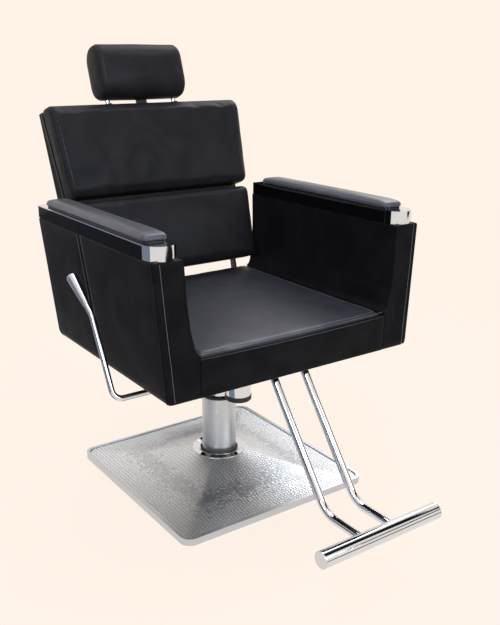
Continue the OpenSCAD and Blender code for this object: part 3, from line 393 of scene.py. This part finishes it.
looks = {
    "seat_leather": leather("seatLeather", (0.013, 0.0138, 0.0195), (0.031, 0.0315, 0.04),
                            rough=(0.36, 0.48), coat=0.05, creases=0.35, specular=0.5),
    "panel_leather": leather("panelLeather", (0.0052, 0.0053, 0.0064), (0.0092, 0.0091, 0.0108),
                             rough=(0.32, 0.42), coat=0.0, creases=0.2, specular=0.045),
    "back_leather": leather("backLeather", (0.0118, 0.0118, 0.0142), (0.0185, 0.018, 0.0212),
                            rough=(0.38, 0.5), coat=0.0, creases=0.3, specular=0.09),
    "pad_leather": leather("padLeather", (0.052, 0.055, 0.068), (0.073, 0.077, 0.092),
                           rough=(0.28, 0.38), coat=0.04, creases=0.15, specular=0.5),
    "thread": coated("thread", (0.17, 0.175, 0.2), 0.6, bump=0.4, scale=2500.0),
    "chrome": metal("chrome", (0.7, 0.745, 0.8), 0.04),
    "satin_metal": metal("satinMetal", (0.58, 0.61, 0.65), 0.26, 0.08, brushed=True),
    "rim_metal": metal("rimMetal", (0.56, 0.605, 0.66), 0.26, 0.08),
    "cap_metal": metal("capMetal", (0.66, 0.7, 0.76), 0.25),
    "grip_metal": metal("gripMetal", (0.6, 0.64, 0.71), 0.16, 0.06),
    "fastener": metal("fastener", (0.47, 0.49, 0.52), 0.3, 0.1),
    "steel_paint": coated("steelPaint", (0.02, 0.02, 0.021), 0.42, bump=0.25),
    "gas_paint": coated("gasPaint", (0.014, 0.014, 0.015), 0.22, coat=0.4),
    "rubber": coated("rubber", (0.016, 0.016, 0.017), 0.55, bump=0.2, scale=1500.0),
    "black_plastic": coated("blackPlastic", (0.012, 0.012, 0.013), 0.4, bump=0.2, scale=1800.0,
                            specular=0.3),
    "bush_plastic": coated("bushPlastic", (0.6, 0.55, 0.42), 0.5, bump=0.1),
    "gloss_black": coated("glossBlack", (0.003, 0.003, 0.0037), 0.05, specular=0.045),
    "wood": coated("plywood", (0.42, 0.28, 0.15), 0.65, bump=0.4, scale=300.0),
}
nodeSlots = {row["node"]: row["material_slot"] for row in frame["record"]["subparts"]}
for nodeName, cadNode in frame["nodes"].items():
    cadNode.data.materials.clear()
    cadNode.data.materials.append(looks[nodeSlots[nodeName]])
print("stage: materials made")

# padded forms
cloth = {"pressure": 4.0, "frames": 20, "quality": 4, "mass": 0.25, "stretch": 18, "bend": 1.5,
         "aside": 0.15}


def puffed(piece, voxel, cap, hold):
    # remeshed into even cells and blown up as cloth: a point goes outwards in full, sideways a little
    # and inwards not at all, because full leather never falls in; cap and hold limit how far it goes
    addModifiers(piece, ("REMESH", {"mode": "VOXEL", "voxel_size": voxel, "use_smooth_shade": True}))
    bakeModifiers(piece)
    rest, away = pointsOf(piece.data)
    made = piece.modifiers.new("cloth", "CLOTH")
    values = made.settings
    values.quality, values.mass = cloth["quality"], cloth["mass"]
    values.use_pressure, values.uniform_pressure_force = True, cloth["pressure"]
    values.tension_stiffness = values.compression_stiffness = cloth["stretch"]
    values.bending_stiffness = cloth["bend"]
    values.effector_weights.gravity = 0
    made.point_cache.frame_start, made.point_cache.frame_end = 1, cloth["frames"]
    scene = bpy.context.scene
    for step in range(1, cloth["frames"] + 1):
        scene.frame_set(step)
    moved, _ = pointsOf(piece.evaluated_get(bpy.context.evaluated_depsgraph_get()).to_mesh())
    piece.modifiers.clear()
    scene.frame_set(1)
    shift = moved - rest
    swell = (shift * away).sum(-1, keepdims=True)
    shift = cloth["aside"] * (shift - swell * away) + np.maximum(swell, 0) * away
    size = np.linalg.norm(shift, axis=1, keepdims=True)
    shift *= np.minimum(1, cap / np.maximum(size, 1e-9)) * hold(rest)[:, None]
    piece.data.vertices.foreach_set("co", (rest + shift).ravel())
    piece.data.update()


def pressSeam(piece, distance, depth, width):
    # every point near the seam sinks along its normal by a bell-shaped amount
    at, out = pointsOf(piece.data)
    fade = np.exp(-(distance(at) / width) ** 2)
    piece.data.vertices.foreach_set("co", (at - out * (depth * fade)[:, None]).ravel())
    piece.data.update()


def onSurface(piece, path, out, reach):
    # lifts each path point along its outward direction to the mean height of the mesh points round it
    at, _ = pointsOf(piece.data)
    gap = at[None] - path[:, None]
    height = (gap * out[:, None]).sum(-1)
    aside = np.linalg.norm(gap - height[..., None] * out[:, None], axis=-1)
    weight = np.exp(-(aside / reach) ** 2) * (np.abs(height) < 4 * reach)
    return path + out * ((weight * height).sum(1) / np.maximum(weight.sum(1), 1e-9))[:, None]


smoothed = ("SMOOTH", {"factor": 0.5, "iterations": 5})
divided = ("SUBSURF", {"levels": 1, "render_levels": 1})

# backrest and headrest
backForm = {"y": 164.5 * mm, "z": 478 * mm, "lean": np.radians(19.0), "foot": 232 * mm,
            "flare": np.radians(4.3)}


def backHalf(height):
    # half the width of the back, which flares upwards
    return backForm["foot"] + height * np.tan(backForm["flare"])


def backTurn(v):
    # a direction in the back's own x, depth and height, turned with its lean
    c, s = np.cos(backForm["lean"]), np.sin(backForm["lean"])
    x, t, h = v[..., 0], v[..., 1], v[..., 2]
    return np.stack([x, h * s + t * c, h * c - t * s], -1)


def fromBack(points):
    # a place in the back's own x, depth and height, in the chair's frame
    return backTurn(points) + [0, backForm["y"], backForm["z"]]


cushionForm = {"body": "backrest", "depth": 58 * mm, "topR": 14 * mm, "lowR": 14 * mm, "backR": 7 * mm,
               "endR": 9 * mm, "crown": 7 * mm, "voxel": 5 * mm, "cap": 4 * mm, "seamIn": 8 * mm,
               "slack": 1.5 * mm, "seamDepth": 1.3 * mm, "seamWidth": 1.8 * mm, "beside": 3.4 * mm,
               "sewnBow": 0.2, "reach": 4 * mm}
backCushions = {
    "lowerCushion": {**cushionForm, "node": "lower_cushion", "base": 0.0, "height": 187 * mm,
                     "halfW": backHalf(0), "topHalfW": backHalf(187 * mm)},
    "upperCushion": {**cushionForm, "node": "upper_cushion", "base": 194 * mm, "height": 222 * mm,
                     "halfW": backHalf(194 * mm), "topHalfW": backHalf(416 * mm), "topR": 30 * mm},
    "headCushion": {**cushionForm, "node": "headrest_cushion", "body": "headrest", "base": 427 * mm,
                    "height": 134 * mm, "halfW": 116 * mm, "topHalfW": 116 * mm, "depth": 82 * mm,
                    "topR": 36 * mm, "lowR": 36 * mm, "backR": 36 * mm, "crown": 3 * mm, "voxel": 4 * mm,
                    "seamIn": 7 * mm},
}


def cushionOutline(look, h, t, crown, count=150):
    # side outline of a back cushion, depth first: four rounded corners, then the front bows out
    topR, lowR, backR = look["topR"], look["lowR"], look["backR"]

    def corner(cx, cy, r, start, end):
        a = np.radians(np.linspace(start, end, 14))
        return np.stack([cx + r * np.cos(a), cy + r * np.sin(a)], -1)

    loop = evenLoop(np.concatenate([
        corner(t - backR, h - backR, backR, 0, 90),
        corner(topR, h - topR, topR, 90, 180),
        corner(lowR, lowR, lowR, 180, 270),
        corner(t - backR, backR, backR, 270, 360),
    ]), count)
    v = 2 * loop[:, 1] / h - 1
    loop[:, 0] -= crown * (1 - v ** 2) * (1 - loop[:, 0] / t)
    return loop


def outlineOut(loop):
    # outward directions of a closed outline in its own plane, as depth and height
    run = np.roll(loop, -1, 0) - np.roll(loop, 1, 0)
    return unit(np.stack([0 * run[:, 0], run[:, 1], -run[:, 0]], -1))


def backCushionRows(look):
    # the outline carried across the chair; it shrinks round the ends, and its bow fades towards them
    slack, endR = look["slack"], look["endR"]
    halfW, h, t = look["halfW"] - slack, look["height"] - 2 * slack, look["depth"] - slack
    grow = look["topHalfW"] / look["halfW"] - 1
    share = np.linspace(0, 1, 9)
    left = np.stack([-halfW + endR * share, endR * (1 - np.sqrt(share * (2 - share)))], -1)
    middle = np.linspace(-halfW + endR, halfW - endR, 60)[1:-1]
    across = np.concatenate([left, np.stack([middle, 0 * middle], -1), left[::-1] * [-1, 1]])
    rows = []
    for x, e in across:
        loop = cushionOutline(look, h, t, look["crown"] * (1 - (x / halfW) ** 4))
        up = h / 2 + (loop[:, 1] - h / 2) * (1 - 2 * e / h)
        depth = t / 2 + (loop[:, 0] - t / 2) * (1 - 2 * e / t) + slack / 2
        rows.append(np.stack([x * (1 + grow * up / h), depth, up + slack + look["base"]], -1))
    return np.array(rows)


def addBackCushion(name, look):
    # lofted, blown up, smoothed and divided, then pressed in along a seam near each end and sewn beside it
    cushion = closedLoft(name, fromBack(backCushionRows(look)), looks["back_leather"])
    puffed(cushion, look["voxel"], look["cap"], lambda p: np.ones(len(p)))
    addModifiers(cushion, smoothed, divided)
    bakeModifiers(cushion)
    grow = (look["topHalfW"] - look["halfW"]) / look["height"]

    def seamX(height):
        return look["halfW"] - look["seamIn"] + grow * height

    def offSeam(p):
        y, z = p[:, 1] - backForm["y"], p[:, 2] - backForm["z"]
        height = y * np.sin(backForm["lean"]) + z * np.cos(backForm["lean"])
        return np.abs(p[:, 0]) - seamX(height - look["base"])

    pressSeam(cushion, offSeam, look["seamDepth"], look["seamWidth"])
    loop = cushionOutline(look, look["height"], look["depth"], look["crown"] * look["sewnBow"], 200)
    away = backTurn(outlineOut(loop))
    sewn = []
    for side in (-1, 1):
        for offset in (-look["beside"], look["beside"]):
            flat = [side * (seamX(loop[:, 1]) + offset), loop[:, 0], loop[:, 1] + look["base"]]
            path = onSurface(cushion, fromBack(np.stack(flat, -1)), away, look["reach"])
            sewn.append((closedRun(path), closedRun(away)))
    place(cushion, look["body"], "back_leather", look["node"], fill=0.9)
    sewOn(name + "Stitches", sewn, look["body"], "back_leather")


for cushionName, cushionLook in backCushions.items():
    addBackCushion(cushionName, cushionLook)
print("stage: back cushions and headrest made")


# seat and arm pads
def roundedLoop(x0, x1, y0, y1, r, count, pull):
    # a rectangle with round corners, walked at equal steps and drawn in between its corners
    a = np.linspace(0, 2 * np.pi, 64, endpoint=False) + np.pi / 64
    c, s = np.cos(a), np.sin(a)
    hx, hy = (x1 - x0) / 2, (y1 - y0) / 2
    loop = evenLoop(np.stack([np.sign(c) * (hx - r) + r * c, np.sign(s) * (hy - r) + r * s], -1), count)
    u, v = loop[:, 0] / hx, loop[:, 1] / hy
    loop = np.stack([loop[:, 0] * (1 - pull / hx * (1 - v ** 2)),
                     loop[:, 1] * (1 - pull / hy * (1 - u ** 2))], -1)
    return loop + [(x0 + x1) / 2, (y0 + y1) / 2]


def padPlan(look, inside, radius, grow, count):
    # the pad's plan, drawn in by inside and shrunk to grow about its middle; its front bows out most midway
    x0, x1, y0, y1 = look["box"]
    loop = roundedLoop(x0 + inside, x1 - inside, y0 + inside, y1 - inside, radius, count, look["pull"])
    centre = np.array([(x0 + x1) / 2, (y0 + y1) / 2])
    loop = centre + (loop - centre) * grow
    loop[:, 1] -= look["bow"] * (1 - (loop[:, 0] / x1) ** 2) * np.maximum(0, loop[:, 1] / y0)
    return loop


def padRows(look, count):
    # rings from the middle of the flat foot, out, up the side, over the edge and in to the crowned middle
    edge, h, z0 = look["edgeR"], look["height"], look["z"]
    footR = edge * 0.3
    rows = [(footR, grow, z0) for grow in (0.3, 0.6, 0.85)]
    for a in np.radians(np.linspace(0, 90, 4)):
        rows.append((footR * (1 - np.sin(a)), 1.0, z0 + footR * (1 - np.cos(a))))
    for k in (0.35, 0.7):
        rows.append((0.0, 1.0, z0 + footR + k * (h - edge - footR)))
    for a in np.radians(np.linspace(0, 90, 8)):
        rows.append((edge * (1 - np.cos(a)), 1.0, z0 + h - edge * (1 - np.sin(a))))
    for q in np.linspace(0.97, 0.04, 22):
        rows.append((edge, q, z0 + h + look["crown"] * (1 - q ** 2) ** 0.8))
    made = []
    for inside, grow, z in rows:
        loop = padPlan(look, inside, max(look["cornerR"] - inside, edge / 4), grow, count)
        made.append(np.column_stack([loop, np.full(count, z)]))
    return np.array(made)


def freeAbove(look):
    # how far a point may move: not at all up to heldTo, and in full from freeIn above it
    return lambda p: np.clip((p[:, 2] - look["heldTo"]) / look["freeIn"], 0, 1)


seatPad = {"box": (-237.4 * mm, 237.4 * mm, -291.5 * mm, 226 * mm), "z": 407.3 * mm, "height": 30.5 * mm,
           "cornerR": 12 * mm, "edgeR": 9 * mm, "crown": 4 * mm, "pull": 1 * mm, "bow": 7 * mm,
           "voxel": 6 * mm, "cap": 3 * mm, "heldTo": 418 * mm, "freeIn": 20 * mm,
           "sewnIn": (8 * mm, 14 * mm), "reach": 5 * mm}


def addSeat(look):
    # lofted and blown up where it isn't held, and two sewn rows follow its edge on top
    pad = closedLoft("seatCushion", padRows(look, 240), looks["seat_leather"])
    puffed(pad, look["voxel"], look["cap"], freeAbove(look))
    addModifiers(pad, smoothed)
    bakeModifiers(pad)
    count = 260
    away = np.zeros((count, 3)) + [0, 0, 1]
    sewn = []
    for inside in look["sewnIn"]:
        loop = padPlan(look, inside, look["cornerR"], 1.0, count)
        flat = np.column_stack([loop, np.full(count, look["z"] + look["height"])])
        sewn.append((closedRun(onSurface(pad, flat, away, look["reach"])), closedRun(away)))
    addModifiers(pad, divided)
    place(pad, "seat", "seat_leather", "seat_cushion", fill=0.9)
    sewOn("seatStitches", sewn, "seat", "seat_leather")


addSeat(seatPad)
print("stage: seat made")

bothSides = (("right", -1), ("left", 1))
armPads = {"width": 54 * mm, "front": -248 * mm, "back": 212 * mm, "middle": 298 * mm, "z": 656.8 * mm,
           "height": 12 * mm, "cornerR": 16 * mm, "edgeR": 8 * mm, "crown": 4 * mm, "pull": 0.8 * mm,
           "bow": 0.0, "voxel": 4 * mm, "cap": 2 * mm, "heldTo": 662.5 * mm, "freeIn": 6 * mm}


def addArmPad(word, side, look):
    middle, half = side * look["middle"], look["width"] / 2
    shape = {**look, "box": (middle - half, middle + half, look["front"], look["back"])}
    pad = closedLoft("armPad" + word.capitalize(), padRows(shape, 200), looks["pad_leather"])
    puffed(pad, look["voxel"], look["cap"], freeAbove(look))
    addModifiers(pad, divided)
    place(pad, "seat", "pad_leather", "arm_pad_" + word, fill=0.85)


for word, side in bothSides:
    addArmPad(word, side, armPads)
print("stage: arm pads made")

# arm panels
armShape = {
    "low": 352 * mm, "high": 627 * mm, "seat": 439 * mm, "foot": 238 * mm, "inner": 267 * mm,
    "thick": 64 * mm, "lean": 21 * mm, "front": 286 * mm, "frontDraft": 9 * mm, "back": 241 * mm,
    "backDraft": 27 * mm, "cornerR": 10 * mm, "innerR": 3 * mm, "edgeR": 5 * mm, "footR": 14 * mm,
    "seamLow": -20 * mm, "seamHigh": 25 * mm, "grooveDepth": 1.3 * mm, "grooveWidth": 1.6 * mm,
    "swell": 2.2 * mm, "swellReach": 26 * mm, "drawnIn": 1.2 * mm,
    "piping": 1.9 * mm, "pipingOut": 0.2 * mm, "innerPiping": 1.4 * mm,
    "flareRise": (0, 0.02, 0.06, 0.14, 0.28, 0.57, 1.0),      # shares of the height above the seat
    "flareShare": (0, 0.2, 0.35, 0.45, 0.66, 0.86, 1.0),      # shares of the way from foot to inner
}


def bunched(count):
    # shares from 0 to 1 that lie closer together near both ends
    return 0.5 - 0.5 * np.cos(np.pi * np.linspace(0, 1, count, endpoint=False))


def armRows(look):
    # level rings up the panel: outer side in two lengths that meet at its seam, front, inner side and
    # back; up is each ring's share of the height, with rings closer together at the foot and the top
    up = np.concatenate([np.linspace(0, 1, 7) ** 1.5 * 0.055, np.linspace(0.06, 0.3, 18),
                         np.linspace(0.31, 0.45, 14), np.linspace(0.47, 0.96, 26),
                         1 - np.linspace(1, 0, 7) ** 1.5 * 0.025])
    z = look["low"] + up * (look["high"] - look["low"])
    lowRound = np.clip(1 - (z - look["low"]) / look["footR"], 0, 1)
    topRound = np.clip(1 - (look["high"] - z) / look["edgeR"], 0, 1)
    lowHeel = look["footR"] * (1 - np.sqrt(1 - lowRound ** 2))
    lowEdge = look["edgeR"] * (1 - np.sqrt(1 - lowRound ** 2))
    topIn = look["edgeR"] * (1 - np.sqrt(1 - topRound ** 2))
    rise = np.clip((z - look["seat"]) / (look["high"] - look["seat"]), 0, 1)
    flare = np.interp(rise, look["flareRise"], look["flareShare"])
    inner = look["foot"] + (look["inner"] - look["foot"]) * flare + topIn
    outer = look["inner"] + look["thick"] - look["lean"] * (1 - up) - lowEdge - topIn
    front = -look["front"] - look["frontDraft"] * (1 - up) + lowEdge + topIn
    back = look["back"] - look["backDraft"] * (1 - up) - lowHeel - topIn
    seam = look["seamLow"] + (look["seamHigh"] - look["seamLow"]) * up
    r, q = look["cornerR"], look["innerR"]

    def line(xa, ya, xb, yb, shares):
        s = shares[None]
        return np.stack([xa[:, None] + (xb - xa)[:, None] * s, ya[:, None] + (yb - ya)[:, None] * s], -1)

    def arc(cx, cy, radius, start, end, count):
        a = np.radians(np.linspace(start, end, count, endpoint=False))[None]
        return np.stack([cx[:, None] + radius * np.cos(a), cy[:, None] + radius * np.sin(a)], -1)

    # the last number of each part is its count of points
    parts = [
        arc(outer - r, back - r, r, 90, 0, 8),
        line(outer, back - r, outer, seam, bunched(40)),
        line(outer, seam, outer, front + r, bunched(44)),
        arc(outer - r, front + r, r, 0, -90, 10),
        line(outer - r, front, inner + q, front, np.linspace(0, 1, 14, endpoint=False)),
        arc(inner + q, front + q, q, -90, -180, 6),
        line(inner, front + q, inner, back - q, bunched(60)),
        arc(inner + q, back - q, q, 180, 90, 6),
        line(inner + q, back, outer - r, back, np.linspace(0, 1, 12, endpoint=False)),
    ]
    starts = np.cumsum([0] + [p.shape[1] for p in parts])
    flat = np.concatenate(parts, 1)
    rows = np.concatenate([flat, np.repeat(z[:, None, None], flat.shape[1], 1)], -1)
    # on the outer side the leather is pulled in at the seam and along the edges and swells between them
    outerSide = rows[:, starts[1]:starts[3]]
    offSeam = np.abs(outerSide[..., 1] - seam[:, None])
    far = np.minimum.reduce([offSeam, outerSide[..., 1] - front[:, None], back[:, None] - outerSide[..., 1],
                             outerSide[..., 2] - look["low"], look["high"] - outerSide[..., 2]])
    groove = look["grooveDepth"] * np.exp(-(offSeam / look["grooveWidth"]) ** 2)
    outerSide[..., 0] += look["swell"] * (1 - np.exp(-far / look["swellReach"])) - look["drawnIn"] - groove
    return rows, starts


def ringsOut(rows):
    # outward directions of a stack of rings
    out = unit(np.cross(np.roll(rows, -1, 1) - np.roll(rows, 1, 1), np.gradient(rows, axis=0)))
    return out * np.sign(((rows - rows.mean((0, 1))) * out).sum(-1, keepdims=True))


def addArm(word, side, look):
    # the panel of rings, with its sewn lines and piping along columns of the same grid
    rows, starts = armRows(look)
    rows[..., 0] *= side
    name = "armPanel" + word.capitalize()
    panel = closedLoft(name, rows, looks["panel_leather"])
    place(panel, "seat", "panel_leather", "arm_panel_" + word, fill=0.95)
    out = ringsOut(rows)
    live = slice(3, len(rows) - 3)
    columns = (starts[2] - 5, starts[2] + 5, starts[4] + 1)     # both sides of the seam, and the front edge
    sewOn(name + "Stitches", [(rows[live, at], out[live, at]) for at in columns], "seat", "panel_leather")
    beads = (("Piping", starts[3] + 6, 2, look["pipingOut"], look["piping"]),
             ("InnerPiping", starts[5] + 2, 16, 0.0, look["innerPiping"]))
    for ending, at, first, proud, radius in beads:
        away = out[first:-2, at]
        bead = tubeRows(rows[first:-2, at] + away * proud, away, radius)
        place(closedLoft(name + ending, bead, looks["panel_leather"]), "seat", "panel_leather")


for word, side in bothSides:
    addArm(word, side, armShape)
print("stage: arms made")

# front apron
apron = {"low": 352 * mm, "high": 434.5 * mm, "front": -294 * mm, "back": -264 * mm, "half": 237.6 * mm,
         "railTop": 407 * mm, "overRail": (1 * mm, 0.2 * mm), "bow": 7 * mm, "lip": 6 * mm, "toe": 4 * mm,
         "sewnFront": (1.2 * mm, -3.6 * mm), "sewnTop": (8.5 * mm, 3.6 * mm)}


def addApron(look):
    # side outline, as y and z, carried across the chair; the front's bow fades to nothing at the foot
    front, rear, low, high = look["front"], look["back"], look["low"], look["high"]
    lip, toe, railTop = look["lip"], look["toe"], look["railTop"]
    underLip, underRear = railTop + np.array(look["overRail"])
    z = np.linspace(low + toe, high - lip, 16)
    a = np.radians(np.linspace(0, 90, 8))
    loop = np.concatenate([
        np.stack([np.full(len(z), front), z], -1),
        np.stack([front + lip * (1 - np.cos(a)), high - lip * (1 - np.sin(a))], -1)[1:],
        [[front + lip, underLip], [rear, underRear], [rear, low], [front + toe, low]],
        np.stack([front + toe * (1 - np.sin(a)), low + toe * (1 - np.cos(a))], -1)[1:-1],
    ])
    x = np.linspace(-look["half"], look["half"], 81)
    bowed = look["bow"] * (1 - (x / look["half"]) ** 2)
    share = np.clip((rear - loop[:, 0]) / (rear - front), 0, 1)
    share = share * np.clip((loop[:, 1] - low) / (railTop - low), 0, 1)
    rows = np.stack([np.repeat(x[:, None], len(loop), 1), loop[None, :, 0] - bowed[:, None] * share[None],
                     np.repeat(loop[None, :, 1], len(x), 0)], -1)
    piece = closedLoft("frontApron", rows, looks["panel_leather"])
    place(piece, "seat", "panel_leather", "front_rail", fill=0.95)
    sewn = []
    for (inside, above), away in ((look["sewnFront"], (0, -0.6, 0.8)), (look["sewnTop"], (0, -0.3, 0.95))):
        path = np.stack([x, front - bowed + inside, np.full(len(x), high + above)], -1)
        sewn.append((path, np.tile(np.array(away, float), (len(x), 1))))
    sewOn("frontStitches", sewn, "seat", "panel_leather")


addApron(apron)
print("stage: front apron made")

# base cover
coverShape = {"half": 241.4 * mm, "cornerR": 18 * mm, "collarR": 65 * mm, "edgeZ": 14 * mm, "rise": 46 * mm,
              "curve": 1.9, "holeR": 46 * mm, "foot": 8 * mm, "thick": 2 * mm}
coverSteel = {"cells": 125.0, "stretch": (1.0, 1.155, 0.2), "uneven": 0.35, "groove": (0.02, 0.2),
              "dark": (0.44, 0.475, 0.525), "light": (0.74, 0.79, 0.85), "rough": (0.33, 0.42),
              "bump": 0.52, "depth": 0.0006}


def embossedSteel(name, look):
    # rows of small rounded scales pressed into satin steel, with painted shade darkening the grooves
    # between them
    material, tree, shader, where, marks = startMaterial(name, handling)
    stretched = addNode(tree, "ShaderNodeMapping", {"Vector": where, "Scale": look["stretch"]})
    cells = addNode(tree, "ShaderNodeTexVoronoi", {"Vector": stretched.outputs[0], "Scale": look["cells"],
                                                   "Randomness": look["uneven"]},
                    feature="DISTANCE_TO_EDGE")
    scale = spread(tree, cells.outputs["Distance"], *look["groove"])
    tree.links.new(blendColour(tree, scale, (*look["dark"], 1), (*look["light"], 1)),
                   shader.inputs["Base Color"])
    tree.links.new(spread(tree, marks["Smear"], 0, 1, *look["rough"]), shader.inputs["Roughness"])
    addBump(tree, shader, scale, look["bump"], look["depth"])
    shader.inputs["Metallic"].default_value = 1.0
    return material


def addCover(look):
    # a rounded square at the rim that turns into a circle at the collar, and rises as a power of the way in
    count, steps = 288, 64
    a = np.linspace(0, 2 * np.pi, count, endpoint=False) + np.pi / count
    c, s = np.abs(np.cos(a)), np.abs(np.sin(a))
    half, r = look["half"], look["cornerR"]
    q = half - r
    high, low = np.maximum(c, s), np.minimum(c, s)
    straight = low / high <= q / half
    inside = np.maximum((q * (c + s)) ** 2 - 2 * q * q + r * r, 0)
    edge = np.where(straight, half / high, q * (c + s) + np.sqrt(inside))
    k = np.linspace(0, 1, steps)[:, None]
    reach = edge[None] * (1 - k) + look["collarR"] * k
    z = look["edgeZ"] + look["rise"] * k ** look["curve"] + 0 * a[None]
    rows = np.stack([reach * np.cos(a), reach * np.sin(a), z], -1)
    skirt = rows[:1] * [1, 1, 0] + [0, 0, look["foot"]]
    inner = np.stack([look["holeR"] * np.cos(a), look["holeR"] * np.sin(a),
                      np.full(count, look["edgeZ"] + look["rise"])], -1)[None]
    rows = np.concatenate([skirt, rows, inner])
    piece = makePiece("baseCover", rows, [gridQuads(len(rows), count)],
                      embossedSteel("embossedSteel", coverSteel))
    addModifiers(piece, ("SOLIDIFY", {"thickness": look["thick"], "offset": -1}))
    place(piece, "base", "satin_metal", "base_cover")


addCover(coverShape)
print("stage: base cover made")

# studio
studio = {"background": (1.0, 0.896, 0.807), "world": 0.5, "keep": 0.93, "fadeFrom": 0.7, "fadeTo": 2.2,
          "floorR": 14, "floorZ": -0.0004}
lamps = {
    "keyLeft": {"place": (-2.6, -1.6, 2.5), "aim": (0, 0, 0.5), "size": (1.6, 1.6), "power": 54,
                "colour": (0.86, 0.92, 1.0)},
    "frontFill": {"place": (0.9, -3.2, 1.9), "aim": (0, 0, 0.5), "size": (2.2, 1.4), "power": 45,
                  "colour": (0.97, 0.98, 1.0)},
    "topSoft": {"place": (0.3, 0.4, 3.4), "aim": (0, 0, 0.5), "size": (2.4, 2.4), "power": 50,
                "colour": (0.97, 0.98, 1.0)},
    "rearRim": {"place": (2.4, 1.6, 3.0), "aim": (0, 0, 0.6), "size": (1.2, 1.8), "power": 32,
                "colour": (0.97, 0.98, 1.0)},
}
grey, black = (0.23, 0.25, 0.3), (0.012, 0.012, 0.014)
cards = {       # one edge's start and end, how far the card rises from it, and its shade
    "cardLeftFloor": ((-3.4, -0.3, 0.004), (-0.45, -0.3, 0.004), (0, 3.8, 0), grey),
    "cardLeftWall": ((-3.4, -0.3, 0.004), (-3.4, 3.4, 0.004), (0, 0, 2.4), grey),
    "cardBoom": ((1.5, -2.9, 1.15), (2.4, -2.3, 1.15), (0, 0, 0.45), black),
    "cardFrontFloor": ((0.25, -2.8, 0.004), (2.3, -2.8, 0.004), (0, 1.75, 0), black),
    "cardHigh": ((0.5, -1.7, 2.3), (2.2, -1.7, 2.3), (0, 1.5, 0.3), black),
    "cardRight": ((1.6, -1.55, 0.3), (2.2, -0.75, 0.3), (0, 0, 1.7), black),
    "cardLeft": ((-2.0, -1.2, 0.3), (-2.35, -0.4, 0.3), (0, 0, 1.5), black),
    "cardRear": ((0.9, 2.2, 0.02), (1.6, 1.9, 0.02), (0, 0, 1.2), black),
}


def addLamp(name, look):
    data = bpy.data.lights.new(name, "AREA")
    data.shape, data.size, data.size_y = "RECTANGLE", *look["size"]
    data.energy, data.color = look["power"], look["colour"]
    lamp = bpy.data.objects.new(name, data)
    lamp.location = look["place"]
    lamp.rotation_euler = (Vector(look["aim"]) - Vector(look["place"])).to_track_quat("-Z", "Y").to_euler()
    bpy.context.scene.collection.objects.link(lamp)


def emptyTree(owner):
    owner.use_nodes = True
    owner.node_tree.nodes.clear()
    return owner.node_tree


def seenDirectly(tree):
    path = addNode(tree, "ShaderNodeLightPath")
    either = maths(tree, "MAXIMUM", path.outputs["Is Camera Ray"], path.outputs["Is Glossy Ray"])
    return maths(tree, "MAXIMUM", either, path.outputs["Is Transmission Ray"])


def mixedShaders(tree, share, first, second, output):
    mix = addNode(tree, "ShaderNodeMixShader", {0: share, 1: first.outputs[0], 2: second.outputs[0]})
    addNode(tree, output, {"Surface": mix.outputs[0]})


def addCard(name, start, end, rise, shade):
    # a dark or grey card that only reflections show, as photographers stand round chrome: a painted
    # reflection that glows its shade in glossy rays and lets all other rays through
    material = bpy.data.materials.new(name)
    tree = emptyTree(material)
    clear = addNode(tree, "ShaderNodeBsdfTransparent")
    shown = addNode(tree, "ShaderNodeEmission", {"Color": (*shade, 1), "Strength": 1.0})
    mirrored = addNode(tree, "ShaderNodeLightPath").outputs["Is Glossy Ray"]
    mixedShaders(tree, mirrored, clear, shown, "ShaderNodeOutputMaterial")
    start, end, rise = np.array(start), np.array(end), np.array(rise)
    corners = [start, end, end + rise, start + rise]
    makePiece(name, corners, [np.array([[0, 1, 2, 3]])], material, smooth=False)


def addWorld(look):
    world = bpy.data.worlds.new("studio")
    bpy.context.scene.world = world
    tree = emptyTree(world)
    shown = addNode(tree, "ShaderNodeBackground", {"Color": (*look["background"], 1), "Strength": 1.0})
    soft = addNode(tree, "ShaderNodeBackground", {"Color": (1, 1, 1, 1), "Strength": look["world"]})
    mixedShaders(tree, seenDirectly(tree), soft, shown, "ShaderNodeOutputWorld")


def addFloor(look):
    # near the chair a little of the floor is lit, to take its shadow; further out its colour is even
    material = bpy.data.materials.new("paleFloor")
    tree = emptyTree(material)
    shown = addNode(tree, "ShaderNodeEmission", {"Color": (*look["background"], 1), "Strength": 1.0})
    soft = addNode(tree, "ShaderNodeBsdfDiffuse", {"Color": (*look["background"], 1)})
    where = addNode(tree, "ShaderNodeTexCoord").outputs["Object"]
    away = addNode(tree, "ShaderNodeVectorMath", {0: where}, operation="LENGTH").outputs["Value"]
    fade = spread(tree, away, look["fadeFrom"], look["fadeTo"], look["keep"], 1.0)
    share = maths(tree, "MULTIPLY", seenDirectly(tree), fade)
    mixedShaders(tree, share, soft, shown, "ShaderNodeOutputMaterial")
    count = 96
    angle = np.linspace(0, 2 * np.pi, count, endpoint=False)
    rim = np.stack([look["floorR"] * np.cos(angle), look["floorR"] * np.sin(angle),
                    0 * angle + look["floorZ"]], -1)
    points = np.vstack([rim, [[0, 0, look["floorZ"]]]])
    floor = makePiece("studioFloor", points, [capTris(0, count, count)], material)
    if floor.data.polygons[0].normal.z < 0:
        floor.data.flip_normals()


for lampName, lampLook in lamps.items():
    addLamp(lampName, lampLook)
for cardName, card in cards.items():
    addCard(cardName, *card)
addWorld(studio)
addFloor(studio)
print("stage: studio made")
